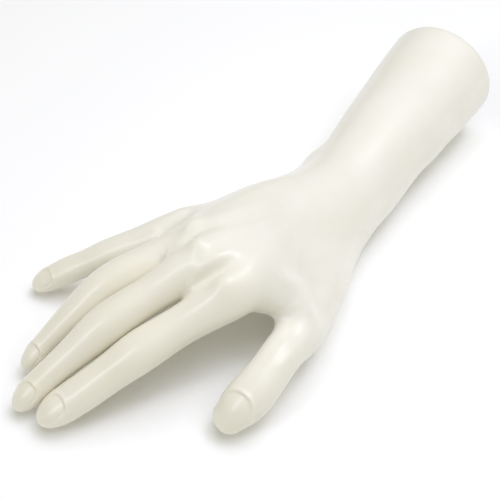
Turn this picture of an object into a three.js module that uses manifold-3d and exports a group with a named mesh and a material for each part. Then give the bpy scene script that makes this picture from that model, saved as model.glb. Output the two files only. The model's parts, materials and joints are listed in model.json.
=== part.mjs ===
// Jewelry display hand: a slender right hand with part of its forearm, lying palm down on the
// forearm and the fingertips. Two bonded half mouldings make the hollow hand. A screwed plate with
// a ballast slug behind it closes the forearm, and a pad on the plate lets the hand stand upright.
// Millimetres, +Z up, +X towards the forearm end, thumb on the -Y side, wrist near x = 0.
import * as THREE from 'three';
import { mergeVertices } from 'three/addons/utils/BufferGeometryUtils.js';
import Module from 'manifold-3d';

const wasm = await Module();
wasm.setup();

// Walls and fits
const WALL = 2.4;
const SEAM_GAP = 0.3;
const CLEARANCE = 0.3;

// Fingers: places of the metacarpal's root and the knuckle, lengths of the three finger bones,
// their headings in degrees from -X towards +Y, their slopes in degrees down from level, and the
// half widths at the knuckle, mid bone, middle joint, mid bone, end joint and tip.
const FINGERS = {
  little: {
    root: [-6, 4, 19],
    knuckle: [-76, 19, 34],
    bones: [33, 24, 14.5],
    heading: [33.5, 35, 37],
    slope: [18.5, 27, 32],
    width: [8.6, 7.4, 6.8, 6.1, 6.4, 5.1],
  },
  ring: {
    root: [-6, 3, 21],
    knuckle: [-76, 3, 44],
    bones: [43.5, 32, 17],
    heading: [14.5, 9, 9],
    slope: [12.5, 32.5, 42],
    width: [8.8, 8.4, 8.6, 7.3, 6.3, 5.5],
  },
  middle: {
    root: [-6, -4, 21],
    knuckle: [-84, -11.5, 48],
    bones: [47.5, 32, 18],
    heading: [11.5, 10.5, 10.5],
    slope: [18, 30, 39],
    width: [10.4, 8.3, 8.9, 7.5, 6.8, 5.5],
  },
  index: {
    root: [-6, -12, 19.5],
    knuckle: [-84.5, -30, 44],
    bones: [44, 29, 18],
    heading: [12, 16, 20],
    slope: [18, 28, 31],
    width: [10.5, 8.5, 9.2, 8.1, 8.4, 6.9],
  },
};
const FINGER_RATIO = [1.08, 1.03, 0.97, 0.97, 0.92, 0.92];
const METACARPAL_WIDTH = 9;
const METACARPAL_HEIGHT = 12.2;
const METACARPAL_CROWN = 2;

// Thumb: the same kind of values from its root at the wrist to its tip
const THUMB = {
  root: [-18.5, -20.5, 14.7],
  bones: [51.5, 30.5, 22],
  heading: [-35.3, -16.5, 2.5],
  slope: [-4.5, 0, 31.5],
  width: [13.7, 13.5, 10.4, 8.9, 9.2, 9.7, 7.8],
};
const THUMB_RATIO = [0.8, 0.9, 1, 1, 0.95, 0.88, 0.84];

// Forearm: centres of the section in the palm, at the wrist, half way and at the cut end
const ARM_ROOT = [-22, -3.5, 21.5];
const ARM_WRIST = [14, -3, 19];
const ARM_MIDDLE = [50, 9, 24];
const ARM_END = [111.5, 25.4, 29.6];
const ARM_WIDTH = [20, 21.5, 25.1, 29.4];
const ARM_RATIO = [0.75, 0.88, 0.94, 0.98];
const ARM_RUN_ON = 30;

// Swells of the palm as rows of x, y, z, half width and half height
const HEEL_OUTER = [[-6, 13.5, 15, 10.4, 11], [-30, 19, 16, 11.5, 11], [-58, 22.5, 23, 9, 9.5]];
const HEEL_THUMB = [[-12, -12, 15, 11.5, 11], [-30, -24, 15.5, 13.2, 11], [-52, -36, 18, 10, 10]];
const BACK_OF_WEB = [[-22, -14, 24, 9, 7], [-45, -25, 29, 11, 8], [-66, -35, 33, 8, 7]];
const THUMB_WEB = [[-69.5, -32.5, 35.5, 6, 8], [-62, -40.5, 30, 6, 8], [-62, -47.5, 22, 6, 8]];
const WRIST_BONE = [12.8, 15, 24.3];
const WRIST_BONE_RADIUS = 8.2;

// Reach of the soft blends between the forms
const PALM_BLEND = 16;
const FINGER_BLEND = 1;
const WEB_EDGE = { ring: -92, middle: -100, index: -102 };
const WEB_LEAD = 4;
const WEB_RUN = 28;
const THUMB_BLEND = 14;
const THUMB_TIP_BLEND = 1.5;
const THUMB_BLEND_FROM = -75;
const THUMB_BLEND_TO = -45;
const HEEL_BLEND = 10;
const WEB_BLEND = 9;
const WRIST_BLEND = 16;

// Base at the forearm end, measured from the rim plane along the forearm's axis
const RIM_WALL = 4;
const RIM_ROUND = 3;
const PAD_THICKNESS = 2;
const PAD_PROUD = 0.8;
const PLATE_THICKNESS = 3;
const LEDGE_WIDTH = 8;
const LEDGE_THICKNESS = 3;
const BOSS_RADIUS = 4.5;
const BOSS_LENGTH = 9;
const BASE_SCREW = { headRadius: 2.6, headHeight: 1.5, radius: 1.4, length: 10 };
const BASE_SCREW_ANGLES = [90, 210, 330];
const BALLAST_ROOM = 0.8;
const BALLAST_LENGTH = 24;
const BALLAST_SCREW = { headRadius: 4.6, headHeight: 2.2, radius: 2.5, length: 14 };

// Locating pins between the half shells
const PIN_RADIUS = 2;
const PIN_RISE = 5;
const PIN_POST_RADIUS = 4.5;

// Fineness of the facets
const SWEEP_STEPS = 4;
const SKIN_GRID = 6.5;
const DIGIT_SIDES = 10;
const DIGIT_STRIDE = 2;
const CORE_SIDES = 16;
const CORE_STRIDE = 2;
const DIGIT_CORE_SIDES = 8;
const DIGIT_CORE_STRIDE = 4;
const SEAM_GRID = 7;
const ROUND_SIDES = 32;
const SCREW_SIDES = 16;
const DOME_TURNS = [30, 60];
const STUB_SHARE = 0.6;
const SLOPE_STEP = 0.01;
const LEAST_SLOPE = 0.5;
const REACH_STEP = 0.5;
const TRIM_LENGTH = 400;
const SEAM_SOFTNESS = 3;
const SEAM_RUN_ON = [1, 2];

// Rows of a digit at which its palm stretch is half way and at which its free stretch begins
const PALM_ROW = 1;
const KNUCKLE_ROW = 2;

const UP = new THREE.Vector3(0, 0, 1);
const { smoothstep, degToRad, lerp } = THREE.MathUtils;

// Soft union of two distances over the reach k.
function blend(a, b, k) {
  const h = Math.max(k - Math.abs(a - b), 0) / k;
  return Math.min(a, b) - h * h * k * 0.25;
}

// An oval section swept along a smooth curve through rows of x, y, z, half width and half height.
class Sweep {
  constructor(rows) {
    const steps = SWEEP_STEPS * (rows.length - 1);
    const path = new THREE.CatmullRomCurve3(rows.map(([x, y, z]) => new THREE.Vector3(x, y, z)));
    const size = new THREE.CatmullRomCurve3(rows.map(([, , , w, h]) => new THREE.Vector3(w, h, 0)));
    for (const curve of [path, size]) {
      curve.curveType = 'catmullrom';
    }
    this.centres = path.getPoints(steps);
    this.sizes = size.getPoints(steps);
    this.frames = this.centres.map((_, i) => {
      const before = this.centres[Math.max(i - 1, 0)];
      const after = this.centres[Math.min(i + 1, steps)];
      const along = new THREE.Vector3().subVectors(after, before).normalize();
      const side = new THREE.Vector3().crossVectors(UP, along).normalize();
      return { along, side, top: new THREE.Vector3().crossVectors(along, side) };
    });
  }

  // Signed distance from a point to the swept surface, negative inside.
  distance(p) {
    let best = Infinity;
    let at = 0;
    let share = 0;
    for (let i = 0; i + 1 < this.centres.length; i += 1) {
      const a = this.centres[i];
      const b = this.centres[i + 1];
      const ex = b.x - a.x;
      const ey = b.y - a.y;
      const ez = b.z - a.z;
      const along = (p.x - a.x) * ex + (p.y - a.y) * ey + (p.z - a.z) * ez;
      const t = Math.min(Math.max(along / (ex * ex + ey * ey + ez * ez), 0), 1);
      const d = (p.x - a.x - t * ex) ** 2 + (p.y - a.y - t * ey) ** 2 + (p.z - a.z - t * ez) ** 2;
      if (d < best) {
        best = d;
        at = i;
        share = t;
      }
    }
    const w = lerp(this.sizes[at].x, this.sizes[at + 1].x, share);
    const h = lerp(this.sizes[at].y, this.sizes[at + 1].y, share);
    const { along, side, top } = this.frames[share < 0.5 ? at : at + 1];
    const q = new THREE.Vector3().lerpVectors(this.centres[at], this.centres[at + 1], share);
    q.subVectors(p, q);
    const ratio = Math.hypot(q.dot(side) / w, q.dot(top) / h, q.dot(along) / Math.min(w, h));
    return ratio < 1e-6 ? -Math.min(w, h) : Math.sqrt(best) * (1 - 1 / ratio);
  }
}

// Joint centres of a digit, from its first joint along its bones.
function joints(start, { bones, heading, slope }) {
  const places = [new THREE.Vector3(...start)];
  bones.forEach((length, i) => {
    const turn = degToRad(heading[i]);
    const fall = degToRad(slope[i]);
    const level = length * Math.cos(fall);
    const drop = length * Math.sin(fall);
    const way = new THREE.Vector3(-level * Math.cos(turn), level * Math.sin(turn), -drop);
    places.push(way.add(places[i]));
  });
  return places;
}

// Joints with the middle of each bone put between them.
function withMiddles(places) {
  return places.flatMap((p, i) => (i ? [places[i - 1].clone().lerp(p, 0.5), p] : [p]));
}

function row(place, width, height) {
  return [place.x, place.y, place.z, width, height];
}

// Rows of a finger from the wrist to its tip.
function fingerRows(finger) {
  const root = new THREE.Vector3(...finger.root);
  const places = withMiddles(joints(finger.knuckle, finger));
  const palm = root.clone().lerp(places[0], 0.5);
  palm.z += METACARPAL_CROWN;
  places.splice(-2, 1);
  return [
    ...[root, palm].map((p) => row(p, METACARPAL_WIDTH, METACARPAL_HEIGHT)),
    ...places.map((p, i) => row(p, finger.width[i], finger.width[i] * FINGER_RATIO[i])),
  ];
}

// Rows of the thumb from the wrist to its tip.
function thumbRows() {
  const places = withMiddles(joints(THUMB.root, THUMB));
  return places.map((p, i) => row(p, THUMB.width[i], THUMB.width[i] * THUMB_RATIO[i]));
}

// The palm's share of a digit: its rows as far as a stub a little past the knuckle.
function stubRows(rows) {
  const next = rows[KNUCKLE_ROW + 1];
  const stub = rows[KNUCKLE_ROW].map((value, i) => lerp(value, next[i], STUB_SHARE));
  return [...rows.slice(0, KNUCKLE_ROW + 1), stub];
}

const digitRows = { thumb: thumbRows() };
for (const [name, finger] of Object.entries(FINGERS)) {
  digitRows[name] = fingerRows(finger);
}
const digits = {};
const stubs = {};
for (const [name, rows] of Object.entries(digitRows)) {
  digits[name] = new Sweep(rows);
  stubs[name] = new Sweep(stubRows(rows));
}

const armEnd = new THREE.Vector3(...ARM_END);
const armAxis = armEnd.clone().sub(new THREE.Vector3(...ARM_MIDDLE)).normalize();
const armRows = [ARM_ROOT, ARM_WRIST, ARM_MIDDLE, ARM_END]
  .map((p, i) => [...p, ARM_WIDTH[i], ARM_WIDTH[i] * ARM_RATIO[i]]);
const endWidth = ARM_WIDTH[3];
const endHeight = endWidth * ARM_RATIO[3];
armRows.push(row(armEnd.clone().addScaledVector(armAxis, ARM_RUN_ON), endWidth, endHeight));
const arm = new Sweep(armRows);
const heels = [HEEL_OUTER, HEEL_THUMB].map((rows) => new Sweep(rows));
const webs = [BACK_OF_WEB, THUMB_WEB].map((rows) => new Sweep(rows));
const wristBone = new THREE.Vector3(...WRIST_BONE);

// Distance to the skin of the hand with the given digits, negative inside.
function skinDistance(p, { little, thumb, ...others }) {
  let d = little.distance(p);
  for (const [name, edge] of Object.entries(WEB_EDGE)) {
    const open = smoothstep(p.x, edge - WEB_LEAD, edge + WEB_RUN);
    d = blend(d, others[name].distance(p), lerp(FINGER_BLEND, PALM_BLEND, open));
  }
  const atThumb = smoothstep(p.x, THUMB_BLEND_FROM, THUMB_BLEND_TO);
  d = blend(d, thumb.distance(p), lerp(THUMB_TIP_BLEND, THUMB_BLEND, atThumb));
  d = blend(d, blend(heels[0].distance(p), heels[1].distance(p), HEEL_BLEND), HEEL_BLEND);
  for (const web of webs) {
    d = blend(d, web.distance(p), WEB_BLEND);
  }
  d = blend(d, arm.distance(p), WRIST_BLEND);
  return blend(d, wristBone.distanceTo(p) - WRIST_BONE_RADIUS, WEB_BLEND);
}

// Closed solid from a geometry whose faces point out.
function solid(geometry) {
  geometry.deleteAttribute('normal');
  geometry.deleteAttribute('uv');
  const merged = mergeVertices(geometry);
  return new wasm.Manifold(new wasm.Mesh({
    numProp: 3,
    vertProperties: new Float32Array(merged.attributes.position.array),
    triVerts: new Uint32Array(merged.index.array),
  }));
}

// Geometry from lists of points and of corner numbers.
function facets(points, corners) {
  const geometry = new THREE.BufferGeometry().setFromPoints(points);
  geometry.setIndex(corners);
  return geometry;
}

// Skin of a distance field inside a box, with one vertex in each grid cell that it crosses.
function skinOf(distance, box, grid) {
  const count = box.getSize(new THREE.Vector3()).divideScalar(grid).ceil().addScalar(1);
  const place = (i, j, k) => new THREE.Vector3(i, j, k).multiplyScalar(grid).add(box.min);
  const number = (i, j, k) => (k * count.y + j) * count.x + i;
  const values = [];
  for (let k = 0; k < count.z; k += 1) {
    for (let j = 0; j < count.y; j += 1) {
      for (let i = 0; i < count.x; i += 1) {
        values.push(distance(place(i, j, k)));
      }
    }
  }
  const settle = (p) => {
    const d = distance(p);
    const slope = new THREE.Vector3(...['x', 'y', 'z'].map((axis) => {
      const q = p.clone();
      q[axis] += SLOPE_STEP;
      return (distance(q) - d) / SLOPE_STEP;
    }));
    p.addScaledVector(slope, -d / Math.max(slope.lengthSq(), LEAST_SLOPE ** 2));
  };
  const points = [];
  const cells = new Map();
  const edges = [[1, 0, 0], [0, 1, 0], [0, 0, 1]];
  const corner = (c) => [c & 1, (c >> 1) & 1, c >> 2];
  const cell = (i, j, k) => {
    const key = number(i, j, k);
    if (!cells.has(key)) {
      const middle = new THREE.Vector3();
      let crossings = 0;
      for (let c = 0; c < 8; c += 1) {
        const [x, y, z] = corner(c);
        const ahead = edges.filter((edge) => edge.every((step, n) => step + corner(c)[n] < 2));
        for (const [dx, dy, dz] of ahead) {
          const a = values[number(i + x, j + y, k + z)];
          const b = values[number(i + x + dx, j + y + dy, k + z + dz)];
          if (a < 0 !== b < 0) {
            const t = a / (a - b);
            middle.add(place(i + x + t * dx, j + y + t * dy, k + z + t * dz));
            crossings += 1;
          }
        }
      }
      middle.divideScalar(crossings);
      settle(middle);
      settle(middle);
      cells.set(key, points.push(middle) - 1);
    }
    return cells.get(key);
  };
  const corners = [];
  for (let k = 1; k + 1 < count.z; k += 1) {
    for (let j = 1; j + 1 < count.y; j += 1) {
      for (let i = 1; i + 1 < count.x; i += 1) {
        const inside = values[number(i, j, k)] < 0;
        edges.forEach(([dx, dy, dz]) => {
          if (inside !== values[number(i + dx, j + dy, k + dz)] < 0) {
            const ring = [
              cell(i, j, k),
              cell(i - dy, j - dz, k - dx),
              cell(i - dy - dz, j - dz - dx, k - dx - dy),
              cell(i - dz, j - dx, k - dy),
            ];
            const [a, b, c, d] = inside ? ring.reverse() : ring;
            corners.push(a, b, c, a, c, d);
          }
        });
      }
    }
  }
  return facets(points, corners);
}

// Solid between rings of points that run the same way round, closed at two middle points.
function loft(rings, first, last) {
  const sides = rings[0].length;
  const points = [...rings.flat(), first, last];
  const corners = [];
  for (let j = 0; j < sides; j += 1) {
    const next = (j + 1) % sides;
    corners.push(points.length - 2, next, j);
    for (let i = 0; i + 1 < rings.length; i += 1) {
      const low = i * sides;
      const high = low + sides;
      corners.push(low + j, low + next, high + next, low + j, high + next, high + j);
    }
    const top = (rings.length - 1) * sides;
    corners.push(points.length - 1, top + j, top + next);
  }
  return facets(points, corners);
}

// Oval ring of points round a centre.
function oval(centre, side, top, width, height, sides) {
  return Array.from({ length: sides }, (_, j) => {
    const turn = (2 * Math.PI * (j + 0.5)) / sides;
    const point = centre.clone().addScaledVector(side, width * Math.cos(turn));
    return point.addScaledVector(top, height * Math.sin(turn));
  });
}

// A digit from one of its rows to its tip, drawn in by an inset; the tip is domed or cut flat.
function digitSolid(sweep, fromRow, inset, sides, stride, domed) {
  const start = fromRow * SWEEP_STEPS;
  const end = sweep.centres.length - 1;
  const { along, side, top } = sweep.frames[end];
  const width = sweep.sizes[end].x - inset;
  const height = sweep.sizes[end].y - inset;
  const reach = Math.min(width, height);
  const rings = [];
  for (let i = start; i <= end; i += stride) {
    const { x, y } = sweep.sizes[i];
    const frame = sweep.frames[i];
    rings.push(oval(sweep.centres[i], frame.side, frame.top, x - inset, y - inset, sides));
  }
  const pole = sweep.centres[end].clone();
  if (domed) {
    for (const turn of DOME_TURNS.map(degToRad)) {
      const centre = pole.clone().addScaledVector(along, reach * Math.sin(turn));
      rings.push(oval(centre, side, top, width * Math.cos(turn), height * Math.cos(turn), sides));
    }
    pole.addScaledVector(along, reach);
  }
  return solid(loft(rings, sweep.centres[start].clone(), pole));
}

// Frame of the base: its origin in the rim plane, its Z out along the forearm's axis.
const baseSide = new THREE.Vector3().crossVectors(UP, armAxis).normalize();
const baseTop = new THREE.Vector3().crossVectors(armAxis, baseSide);
const baseMatrix = new THREE.Matrix4().makeBasis(baseSide, baseTop, armAxis).setPosition(armEnd);
const onBase = (geometry) => geometry.applyMatrix4(baseMatrix);

// Heights of the base's parts along its Z
const plateTop = PAD_PROUD - PAD_THICKNESS - CLEARANCE;
const plateBottom = plateTop - PLATE_THICKNESS;
const ledgeTop = plateBottom - CLEARANCE;
const ledgeBottom = ledgeTop - LEDGE_THICKNESS;
const bossBottom = ledgeBottom - BOSS_LENGTH;

// Upright rod or cone between two heights.
function rod(radius, low, high, topRadius = radius, sides = SCREW_SIDES) {
  const geometry = new THREE.CylinderGeometry(topRadius, radius, high - low, sides);
  return geometry.rotateX(Math.PI / 2).translate(0, 0, (low + high) / 2);
}

// Oval slab of the forearm's end section, drawn in by an inset, between two heights.
function slab(inset, low, high) {
  const shape = new THREE.Shape();
  shape.absellipse(0, 0, endWidth - inset, endHeight - inset, 0, 2 * Math.PI);
  const options = { depth: high - low, bevelEnabled: false, curveSegments: ROUND_SIDES / 2 };
  return new THREE.ExtrudeGeometry(shape, options).translate(0, 0, low);
}

// Places of the base screws, on the middle of the ledge, and the slug's radius inside their bosses
const screwInset = RIM_WALL + LEDGE_WIDTH / 2;
const screwPlaces = BASE_SCREW_ANGLES.map((angle) => {
  const turn = degToRad(angle);
  return [(endWidth - screwInset) * Math.cos(turn), (endHeight - screwInset) * Math.sin(turn)];
});
const slugInset = Math.max(screwInset + BOSS_RADIUS, RIM_WALL + LEDGE_WIDTH) + BALLAST_ROOM;
const ballastRadius = Math.min(endWidth, endHeight) - slugInset;

// Countersunk screw with its head's flat at the plate's outer face.
function screw({ headRadius, headHeight, radius, length }) {
  const profile = [[0, plateTop - length], [radius, plateTop - length], [radius, plateTop - headHeight],
    [headRadius, plateTop], [0, plateTop]];
  const points = profile.map(([x, y]) => new THREE.Vector2(x, y));
  return solid(new THREE.LatheGeometry(points, SCREW_SIDES).rotateX(Math.PI / 2));
}

// Room for a screw: its own shape with the fit gap round it, open at the plate's outer face.
function screwRoom({ headRadius, headHeight, radius, length }, place = new THREE.Matrix4()) {
  const low = plateTop - headHeight - CLEARANCE;
  const shank = rod(radius + CLEARANCE, plateTop - length - CLEARANCE, plateTop);
  const head = rod(radius + CLEARANCE, low, plateTop + CLEARANCE, headRadius + 2 * CLEARANCE);
  return solid(shank.applyMatrix4(place)).add(solid(head.applyMatrix4(place)));
}

// Rounds the rim and cuts the forearm flat at the rim plane; it is wide open behind the rim.
function rimTrimmer() {
  const x = new THREE.Vector3(1, 0, 0);
  const y = new THREE.Vector3(0, 1, 0);
  const ring = (z, grow) => {
    const centre = new THREE.Vector3(0, 0, z);
    return oval(centre, x, y, endWidth + grow, endHeight + grow, ROUND_SIDES);
  };
  const rings = [ring(-TRIM_LENGTH, TRIM_LENGTH), ring(-RIM_ROUND, 0)];
  for (const turn of [...DOME_TURNS, 90].map(degToRad)) {
    rings.push(ring(RIM_ROUND * (Math.sin(turn) - 1), RIM_ROUND * (Math.cos(turn) - 1)));
  }
  return solid(onBase(loft(rings, new THREE.Vector3(0, 0, -TRIM_LENGTH), new THREE.Vector3())));
}

// Outer skin of the whole hand as one solid.
function outerSolid() {
  const reach = new THREE.Box3();
  for (const sweep of [...Object.values(stubs), arm, ...heels]) {
    sweep.centres.forEach((p, i) => {
      const { x, y } = sweep.sizes[i];
      reach.union(new THREE.Box3().setFromPoints([p]).expandByScalar(Math.max(x, y)));
    });
  }
  reach.expandByScalar(PALM_BLEND);
  let skin = solid(skinOf((p) => skinDistance(p, stubs), reach, SKIN_GRID));
  for (const sweep of Object.values(digits)) {
    skin = skin.add(digitSolid(sweep, KNUCKLE_ROW, 0, DIGIT_SIDES, DIGIT_STRIDE, true));
  }
  return skin.intersect(rimTrimmer());
}

// Middles of the row of knuckles and of the palm
const ringKnuckle = new THREE.Vector3(...FINGERS.ring.knuckle);
const knuckles = ringKnuckle.lerp(new THREE.Vector3(...FINGERS.middle.knuckle), 0.5);
const palmMiddle = knuckles.clone().lerp(new THREE.Vector3(...ARM_ROOT), 0.5);

// Hollow of the palm and forearm: rings that reach out from a spine to the wall.
function mainHollow() {
  const end = armEnd.clone().addScaledVector(armAxis, ledgeBottom);
  const stops = [knuckles.toArray(), palmMiddle.toArray(), ARM_ROOT, ARM_WRIST, ARM_MIDDLE, end.toArray()];
  const spine = new Sweep(stops.map((p) => [...p, 1, 1]));
  spine.frames[spine.frames.length - 1] = { along: armAxis, side: baseSide, top: baseTop };
  const kept = spine.centres.map((_, i) => i).filter((i) => i % CORE_STRIDE === 0);
  const rings = kept.map((i) => {
    const centre = spine.centres[i];
    const { side, top } = spine.frames[i];
    return oval(centre, side, top, 1, 1, CORE_SIDES).map((p) => {
      const way = p.sub(centre);
      let reach = 0;
      while (skinDistance(centre.clone().addScaledVector(way, reach + REACH_STEP), digits) < -WALL) {
        reach += REACH_STEP;
      }
      return centre.clone().addScaledVector(way, reach);
    });
  });
  return solid(loft(rings, spine.centres[0].clone(), end));
}

// Hollow of the whole hand, with the hollows of the digits opening into the palm.
function hollow() {
  let room = mainHollow();
  for (const sweep of Object.values(digits)) {
    room = room.add(digitSolid(sweep, PALM_ROW, WALL, DIGIT_CORE_SIDES, DIGIT_CORE_STRIDE, false));
  }
  return room;
}

// Middle lines of the forearm and the digits, which run on past each tip by its own radius and twice it
const middleLines = [...arm.centres];
for (const sweep of Object.values(digits)) {
  const end = sweep.centres.length - 1;
  const reach = sweep.sizes[end].x;
  const { along } = sweep.frames[end];
  const past = SEAM_RUN_ON.map((share) => sweep.centres[end].clone().addScaledVector(along, share * reach));
  middleLines.push(...sweep.centres, ...past);
}

// Height of the seam between the half shells, drawn to the nearest middle lines.
function seamHeight(x, y) {
  let weights = 0;
  let sum = 0;
  for (const p of middleLines) {
    const weight = 1 / ((p.x - x) ** 2 + (p.y - y) ** 2 + SEAM_SOFTNESS ** 2) ** 2;
    weights += weight;
    sum += weight * p.z;
  }
  return sum / weights;
}

// Everything below the seam, raised or lowered by a shift.
function belowSeam(box, shift) {
  const area = box.clone().expandByScalar(SEAM_GRID);
  const columns = Math.ceil((area.max.x - area.min.x) / SEAM_GRID);
  const rows = Math.ceil((area.max.y - area.min.y) / SEAM_GRID);
  const points = [];
  const corners = [];
  for (const top of [true, false]) {
    for (let j = 0; j <= rows; j += 1) {
      for (let i = 0; i <= columns; i += 1) {
        const x = area.min.x + i * SEAM_GRID;
        const y = area.min.y + j * SEAM_GRID;
        points.push(new THREE.Vector3(x, y, top ? seamHeight(x, y) + shift : area.min.z));
      }
    }
  }
  const width = columns + 1;
  const layer = width * (rows + 1);
  const quad = (a, b, c, d) => corners.push(a, b, c, a, c, d);
  for (let j = 0; j < rows; j += 1) {
    for (let i = 0; i < columns; i += 1) {
      const at = j * width + i;
      quad(at, at + 1, at + width + 1, at + width);
      quad(layer + at, layer + at + width, layer + at + width + 1, layer + at + 1);
    }
  }
  for (let i = 0; i < columns; i += 1) {
    const far = rows * width + i;
    quad(layer + i, layer + i + 1, i + 1, i);
    quad(layer + far + 1, layer + far, far, far + 1);
  }
  for (let j = 0; j < rows; j += 1) {
    const near = j * width;
    const far = near + columns;
    quad(layer + near + width, layer + near, near, near + width);
    quad(layer + far, layer + far + width, far + width, far);
  }
  return solid(facets(points, corners));
}

// Geometry of a solid.
function geometryOf(body) {
  const { vertProperties, triVerts } = body.getMesh();
  const geometry = new THREE.BufferGeometry();
  geometry.setAttribute('position', new THREE.BufferAttribute(vertProperties, 3));
  geometry.setIndex(new THREE.BufferAttribute(triVerts, 1));
  return geometry;
}

// Shell of the whole hand, with the plate's seat, its ledge and the screw bosses at the forearm end.
function wholeShell(skin) {
  const seat = onBase(slab(RIM_WALL, ledgeTop, RIM_ROUND));
  const mouth = onBase(slab(RIM_WALL + LEDGE_WIDTH, ledgeBottom - CLEARANCE, ledgeTop + CLEARANCE));
  let shell = skin.subtract(hollow()).subtract(solid(seat)).subtract(solid(mouth));
  for (const [x, y] of screwPlaces) {
    const boss = rod(BOSS_RADIUS, bossBottom, ledgeTop - CLEARANCE).translate(x, y, 0);
    const place = new THREE.Matrix4().makeTranslation(x, y, 0).premultiply(baseMatrix);
    shell = shell.add(solid(onBase(boss))).subtract(screwRoom(BASE_SCREW, place));
  }
  return shell;
}

// Both half shells. Posts with locating pins stand in the palm, at the wrist and in the forearm.
function halfShells() {
  const skin = outerSolid();
  const shell = wholeShell(skin);
  const box = new THREE.Box3().setFromBufferAttribute(geometryOf(skin).attributes.position);
  const raised = belowSeam(box, SEAM_GAP / 2);
  const lowered = belowSeam(box, -SEAM_GAP / 2);
  let back = shell.subtract(raised);
  let palm = shell.intersect(lowered);
  for (const [x, y] of [palmMiddle.toArray(), ARM_WRIST, ARM_MIDDLE]) {
    const low = seamHeight(x, y) - PIN_RISE;
    const high = seamHeight(x, y) + PIN_RISE;
    const post = solid(rod(PIN_POST_RADIUS, box.min.z, box.max.z).translate(x, y, 0)).intersect(skin);
    const pin = solid(rod(PIN_RADIUS, low, high).translate(x, y, 0));
    const socket = solid(rod(PIN_RADIUS + CLEARANCE, low, high + CLEARANCE).translate(x, y, 0));
    palm = palm.add(post.intersect(lowered)).add(pin);
    back = back.add(post.subtract(raised)).subtract(socket);
  }
  return { back, palm };
}

// Plate that closes the forearm, with countersunk holes for its screws.
function basePlate() {
  let plate = solid(slab(RIM_WALL + CLEARANCE, plateBottom, plateTop));
  plate = plate.subtract(screwRoom(BALLAST_SCREW));
  for (const [x, y] of screwPlaces) {
    plate = plate.subtract(screwRoom(BASE_SCREW, new THREE.Matrix4().makeTranslation(x, y, 0)));
  }
  return plate;
}

// Slug that hangs behind the plate on its own screw.
function ballast() {
  const high = plateBottom - CLEARANCE;
  const slug = rod(ballastRadius, high - BALLAST_LENGTH, high, ballastRadius, ROUND_SIDES);
  return solid(slug).subtract(screwRoom(BALLAST_SCREW));
}

// Pad in the rim, a little proud of it, that the hand stands on.
function pad() {
  return solid(slab(RIM_WALL + CLEARANCE, PAD_PROUD - PAD_THICKNESS, PAD_PROUD));
}

// Mesh of a solid under its node's name.
function mesh(name, body, material) {
  const geometry = geometryOf(body);
  geometry.computeVertexNormals();
  const made = new THREE.Mesh(geometry, material);
  made.name = name;
  return made;
}

const pearl = new THREE.MeshStandardMaterial({ color: 0xf1efe6, roughness: 0.32, metalness: 0 });
const whitePlastic = new THREE.MeshStandardMaterial({ color: 0xe6e4dc, roughness: 0.55, metalness: 0 });
const steel = new THREE.MeshStandardMaterial({ color: 0x8d9094, roughness: 0.4, metalness: 1 });
const foam = new THREE.MeshStandardMaterial({ color: 0x2c2d2f, roughness: 0.95, metalness: 0 });

const base = new THREE.Group();
base.applyMatrix4(baseMatrix);
base.add(mesh('base_plate', basePlate(), whitePlastic));
base.add(mesh('ballast_weight', ballast(), steel));
base.add(mesh('ballast_screw', screw(BALLAST_SCREW), steel));
screwPlaces.forEach(([x, y], i) => {
  const made = mesh(`base_screw_${i + 1}`, screw(BASE_SCREW), steel);
  made.position.set(x, y, 0);
  base.add(made);
});
base.add(mesh('base_pad', pad(), foam));

const shells = halfShells();
const hand = new THREE.Group();
hand.add(mesh('back_shell', shells.back, pearl));
hand.add(mesh('palm_shell', shells.palm, pearl));
hand.add(base);

// The origin is on the table under the middle of the hand.
const extent = new THREE.Box3().setFromObject(hand, true);
const middle = extent.getCenter(new THREE.Vector3());
hand.position.set(-middle.x, -middle.y, -extent.min.z);

export default hand;
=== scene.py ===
"""Looks of a jewelry display hand: pearl-white skin with nails and knuckles, end pad, screws and studio.

The hand's form is worked out in millimetres in the wrist's frame: wrist near x = 0, +X towards the
forearm end, thumb on the -Y side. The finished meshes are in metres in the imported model's frame.
"""
import itertools
import json
import logging
import math
from dataclasses import dataclass, field
from enum import Enum
from typing import Callable, ClassVar, Iterable, Protocol, Sequence

import bmesh
import bpy
import numpy as np
from mathutils import Matrix, Vector


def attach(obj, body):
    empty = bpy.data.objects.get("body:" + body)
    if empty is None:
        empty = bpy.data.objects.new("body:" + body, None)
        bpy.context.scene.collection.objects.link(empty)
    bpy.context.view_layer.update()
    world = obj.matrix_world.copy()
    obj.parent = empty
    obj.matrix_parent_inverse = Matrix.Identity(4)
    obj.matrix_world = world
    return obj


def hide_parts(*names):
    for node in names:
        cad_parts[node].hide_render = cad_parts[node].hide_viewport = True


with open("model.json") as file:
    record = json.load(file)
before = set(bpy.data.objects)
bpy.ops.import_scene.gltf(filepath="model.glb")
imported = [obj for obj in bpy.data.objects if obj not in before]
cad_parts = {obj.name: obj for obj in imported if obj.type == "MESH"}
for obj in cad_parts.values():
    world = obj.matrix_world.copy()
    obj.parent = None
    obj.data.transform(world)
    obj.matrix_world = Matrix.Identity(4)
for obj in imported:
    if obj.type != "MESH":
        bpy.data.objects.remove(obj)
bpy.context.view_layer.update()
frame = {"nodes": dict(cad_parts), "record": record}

Pair = tuple[float, float]
Triple = tuple[float, float, float]
Row = tuple[float, float, float, float, float]

MM = 0.001
BODY = "root"
FAR = 100.0  # distance in millimetres that stands for well away
REACH = 18.0  # how far round a sweep its distances are worked out, in millimetres
TINY = 1e-6
SWEEP_STEPS = 4  # steps of a sweep's track from one stop to the next
LINE_STEPS = 6  # steps of a line's track from one point to the next
PART_ROUNDS = 8  # rounds in which crossed grid faces are parted
FIRST_CREASE = 0.45  # place of a finger's first crease, as a share of its first bone
QUAD = 4  # most corners that a face of the skin keeps
log = logging.getLogger("display_hand")


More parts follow.
